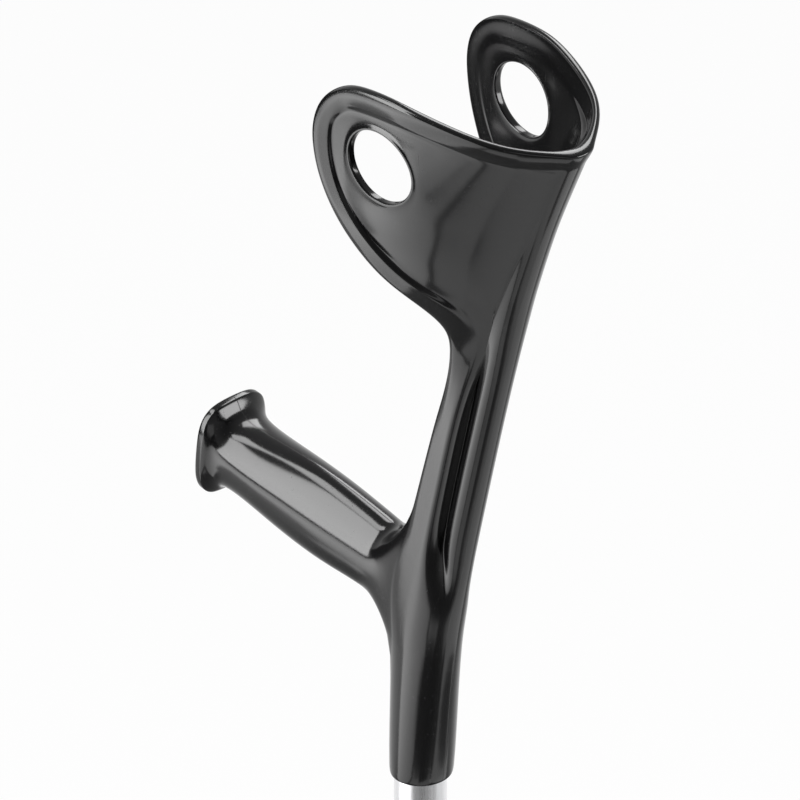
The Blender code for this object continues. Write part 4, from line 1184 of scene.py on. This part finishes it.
def make_guide_bush(finish):
    """Bush in the lower tube's top end, with a flange on its rim."""
    profile = [
        (6.0, 424.3), (8.5, 424.3), (9.5, 423.3), (9.5, 421.3), (8.0, 421.3), (8.0, 408.0), (7.0, 407.0),
        (6.0, 407.0),
    ]
    turned(("flanged_guide_bush", "leg", "bush_acetal", "guide_bush"), profile, 96, finish, 0.2)


def make_button(finish):
    """Domed pin with its base disc, turned on the X axis."""
    pin, disc, tip, shoulder, disc_top, disc_bottom = 3.5, 4.5, 13.2, 11.6, 6.614, 5.614
    crown, spread = 4.628, 49.13
    profile = arc((0, tip - crown), crown, 90, 90 - spread, 12)
    profile[0], profile[-1] = (0, tip), (pin, shoulder)
    profile += [(pin, disc_top), (disc, disc_top), (disc, disc_bottom), (0, disc_bottom)]
    source = lathe("button_source", profile, 64, finish)
    source.location = (0, 0, BUTTON_HEIGHT)
    source.rotation_euler = (0, math.radians(-90), 0)
    rounded_edges(source, 0.15)
    bpy.context.view_layer.update()
    baked(source, "domed_snap_button", "button", "plated_steel", "snap_button")


def make_leaf_spring(finish):
    """Bent strip behind the button: it gives as the button is pressed in."""
    bend, bend_x, bottom, arm, pad_x, gauge, half = 2.1, 4.826, -48.0, 22.0, -5.014, 0.3, 3.5
    lean = math.degrees(math.atan2(bend_x - bend - pad_x, -5.7 - bottom))
    points = [(bend_x + bend, bottom + arm)] + arc((bend_x, bottom), bend, 0, -180 - lean, 24)
    points += [(pad_x - 0.06, -6.1), (pad_x, -5.4), (pad_x, 4.5)]
    shape = bmesh.new()
    rows = []
    for i, (x, z) in enumerate(points):
        before, after = Vector(points[max(i - 1, 0)]), Vector(points[min(i + 1, len(points) - 1)])
        way = (after - before).normalized()
        out = Vector((way.y, -way.x)) * gauge
        rows.append([
            shape.verts.new(Vector((x + out.x * s, y, z + out.y * s + BUTTON_HEIGHT / MM)) * MM)
            for s, y in ((1, -half), (1, half), (-1, half), (-1, -half))
        ])
    for low, high in zip(rows, rows[1:]):
        for k in range(4):
            shape.faces.new([low[k], low[(k + 1) % 4], high[(k + 1) % 4], high[k]])
    shape.faces.new(rows[0][::-1])
    shape.faces.new(rows[-1])
    source = solid("leaf_spring_source", shape, finish)
    rounded_edges(source, 0.1)
    piece = baked(source, "bent_leaf_spring", "leg", "spring_steel", "leaf_spring")
    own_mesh(piece)


def make_foot(rubber, washer_finish, group):
    """Rubber ferrule with ringed shank, fluted sole edge and two sole grooves, and its steel disc."""
    shank, ring, sole, flare_top, flare_drop = 13.0, 12.4, 21.0, 26.0, 19.0
    profile = [(0, 8.0), (9.8, 8.0), (9.8, 56.93), (10.87, 58.0)] + arc((shank, 56.8), 1.2, 90, 0, 5)
    profile += [(14.2, 51.0), (shank, 49.8)]
    for z in (45.0, 40.0, 35.0):
        profile += [(shank, z + 1.0), (ring, z + 0.5), (ring, z - 0.5), (shank, z - 1.0)]
    for i in range(13):
        turn = math.pi / 2 * i / 12
        profile.append((mix(shank, sole, 1 - math.cos(turn)), flare_top - flare_drop * math.sin(turn)))
    profile += arc((sole - 1.2, 1.2), 1.2, 0, -90, 5)
    for x in (16.0, 11.0):
        profile += [(x + 1, 0.0), (x + 0.8, 1.6), (x - 0.8, 1.6), (x - 1, 0.0)]
    profile.append((0, 0.0))
    turned(
        ("rubber_foot", "leg", "foot_rubber", "ferrule"), profile, 144, rubber, 0.22, group,
        Flute_Count=24, Ring_Radius=21.9 * MM, Flute_Radius=1.5 * MM, Flute_Length=30.0 * MM,
        Middle_Height=5.0 * MM,
    )
    disc = [(0, 9.8), (9.5, 9.8), (9.5, 8.3), (0, 8.3)]
    turned(("foot_disc", "leg", "washer_steel", "ferrule_washer"), disc, 96, washer_finish, 0.2)


def make_camera():
    """Camera of the photograph: long lens, level, from behind on the left and from above."""
    flat = math.cos(CAMERA_FALL)
    forward = Vector((flat * math.cos(CAMERA_TURN), -flat * math.sin(CAMERA_TURN), -math.sin(CAMERA_FALL)))
    down = forward.cross(RIGHT)
    pixel = MM / PIXELS_PER_MM
    across, below = (PICTURE_SIZE / 2 - place for place in MOUTH_IN_PICTURE)
    target = Vector((0, 0, SOCKET_MOUTH)) + RIGHT * across * pixel + down * below * pixel
    camera = loose("camera", bpy.data.cameras.new("camera"))
    turned = Matrix((RIGHT, -down, -forward)).transposed().to_4x4()
    camera.matrix_world = Matrix.Translation(target - forward * CAMERA_DISTANCE) @ turned
    camera.data.sensor_width = SENSOR_WIDTH
    camera.data.lens = SENSOR_WIDTH * CAMERA_DISTANCE / (PICTURE_SIZE * pixel)
    camera.data.clip_end = 100
    bpy.context.scene.camera = camera


def area_light(name, width, height, brightness):
    """Rectangular light that the camera doesn't see."""
    data = bpy.data.lights.new(name, "AREA")
    data.shape = "RECTANGLE"
    data.size, data.size_y = width, height
    data.energy = brightness * math.pi * data.size * data.size_y
    light = loose(name, data)
    light.visible_camera = False
    return light


def softbox(name, azimuth, elevation, distance, width, height, brightness):
    """Light seen from the cuff at an azimuth to the right of the view; all angles in degrees."""
    turn, rise = math.radians(azimuth), math.radians(elevation)
    way = (AWAY * math.cos(turn) + RIGHT * math.sin(turn)) * math.cos(rise)
    way += Vector((0, 0, math.sin(rise)))
    sides = [2 * distance * math.tan(math.radians(angle / 2)) for angle in (width, height)]
    light = area_light(name, *sides, brightness)
    light.location = Vector((0, 0, LIGHTS_AIM)) + way * distance
    light.rotation_euler = way.to_track_quat("Z", "Y").to_euler()


def low_card(name, azimuth, out, over, near, far):
    """Card lying on the floor, between two distances along an azimuth and two across it to the left.

    Its brightness changes evenly from its near edge to its far edge.
    """
    turn = -CAMERA_TURN - math.radians(azimuth)
    along = Vector((math.cos(turn), math.sin(turn), 0))
    across = Vector((-along.y, along.x, 0))
    light = area_light(name, out[1] - out[0], over[1] - over[0], 1.0)
    light.location = along * sum(out) / 2 + across * sum(over) / 2 + Vector((0, 0, CARD_HEIGHT))
    light.rotation_euler = (math.pi, 0, turn)
    light.data.use_nodes = True
    card = Graph(light.data.node_tree)
    place = card.axes(card.outputs("ShaderNodeNewGeometry", "Parametric")[0])[0]
    strength = card.node("ShaderNodeMapRange", {}, place, 0.0, 1.0, near, far)
    card.feed(card.tree.nodes["Emission"].inputs["Strength"], strength)


def make_surround():
    """White to the camera; in reflections a white room that darkens upwards and towards the camera."""
    world = bpy.data.worlds.new("surround")
    bpy.context.scene.world = world
    world.use_nodes = True
    room = Graph(world.node_tree)
    to_camera, diffuse = room.outputs("ShaderNodeLightPath", "Is Camera Ray", "Is Diffuse Ray")
    way = room.outputs("ShaderNodeTexCoord", "Generated")[0]
    height = room.axes(way)[2]
    side = room.along(way, VIEW_AWAY).band(-0.55, 0.45, 0.3, 1.0)
    level = height.band(0.05, 0.75, 0.9, 0.35) * ((height > -0.25) * side)
    shade = room.tree.nodes["Background"]
    room.feed(shade.inputs["Color"], room.blend(level, (0.04, 0.04, 0.042), WHITE))
    room.feed(shade.inputs["Strength"], diffuse * -0.45 + 1.0)
    white = room.node("ShaderNodeBackground", {}, Color=(*WHITE, 1.0))
    room.choose(to_camera, shade, white, "World Output")


def make_floor():
    """Floor that is white to the camera and catches a faint shadow.

    In reflections it is light behind the crutch, darker close to it, and dark far out to the left.
    """
    s = Shader("studio_floor", (0.92, 0.92, 0.92), 0.9)
    s.set("Specular IOR Level", 0.0)
    to_camera, glossy, clear = s.outputs(
        "ShaderNodeLightPath", "Is Camera Ray", "Is Glossy Ray", "Is Transmission Ray"
    )
    behind = s.along(s.place, VIEW_AWAY)
    around = s.node("ShaderNodeVectorMath", {"operation": "LENGTH"}, s.place, output="Value")
    dark = around.band(1.45, 1.7) * s.along(s.place, VIEW_LEFT).band(0.4, 0.7)
    mirrored = behind.band(-0.70, -0.88, 0.88, 0.97).larger(dark * 0.97)
    white = (behind * 0.5 + around).band(0.75, 1.5, 0.1, 1.0)
    glow = s.node("ShaderNodeEmission", {}, Strength=to_camera.larger(white * (dark * -0.95 + 1.0)))
    share = to_camera * 0.95 + glossy.larger(clear) * mirrored
    s.choose(share, s.surface, glow, "Material Output")
    mesh = bpy.data.meshes.new("floor")
    corners = [(x * FLOOR_REACH, y * FLOOR_REACH, 0) for x, y in ((-1, -1), (1, -1), (1, 1), (-1, 1))]
    mesh.from_pydata(corners, [], [(0, 1, 2, 3)])
    mesh.materials.append(s.material)
    loose("floor", mesh)


def make_studio():
    """White surround, pale floor, softboxes and low cards."""
    make_surround()
    make_floor()
    for box in SOFTBOXES:
        softbox(*box)
    for card in LOW_CARDS:
        low_card(*card)


def main():
    make_camera()
    make_studio()
    make_moulding(moulded_gloss())
    upper_metal = drawn_aluminium("anodised_aluminium", 0.86, 1.0)
    make_tubes(upper_metal, drawn_aluminium("leg_aluminium", 0.75, 0.0))
    flutes = flute_ring_tree()
    black, worn = (0.018, 0.018, 0.019), (0.05, 0.05, 0.052)
    make_collar(moulded_satin("collar_plastic", black, worn, 0.42, 1500.0), flutes)
    make_guide_bush(moulded_satin("bush_acetal", (0.74, 0.74, 0.70), (0.60, 0.58, 0.52), 0.42, 900.0))
    make_button(plated_steel())
    washer_steel = rolled_steel("washer_steel", (0.55, 0.56, 0.58), (0.38, 0.33, 0.28))
    make_foot(foot_rubber(), washer_steel, flutes)
    make_leaf_spring(rolled_steel("spring_steel", (0.30, 0.31, 0.35), (0.20, 0.19, 0.20)))
    bpy.context.scene.view_settings.view_transform = "Standard"
    bpy.context.view_layer.update()


main()
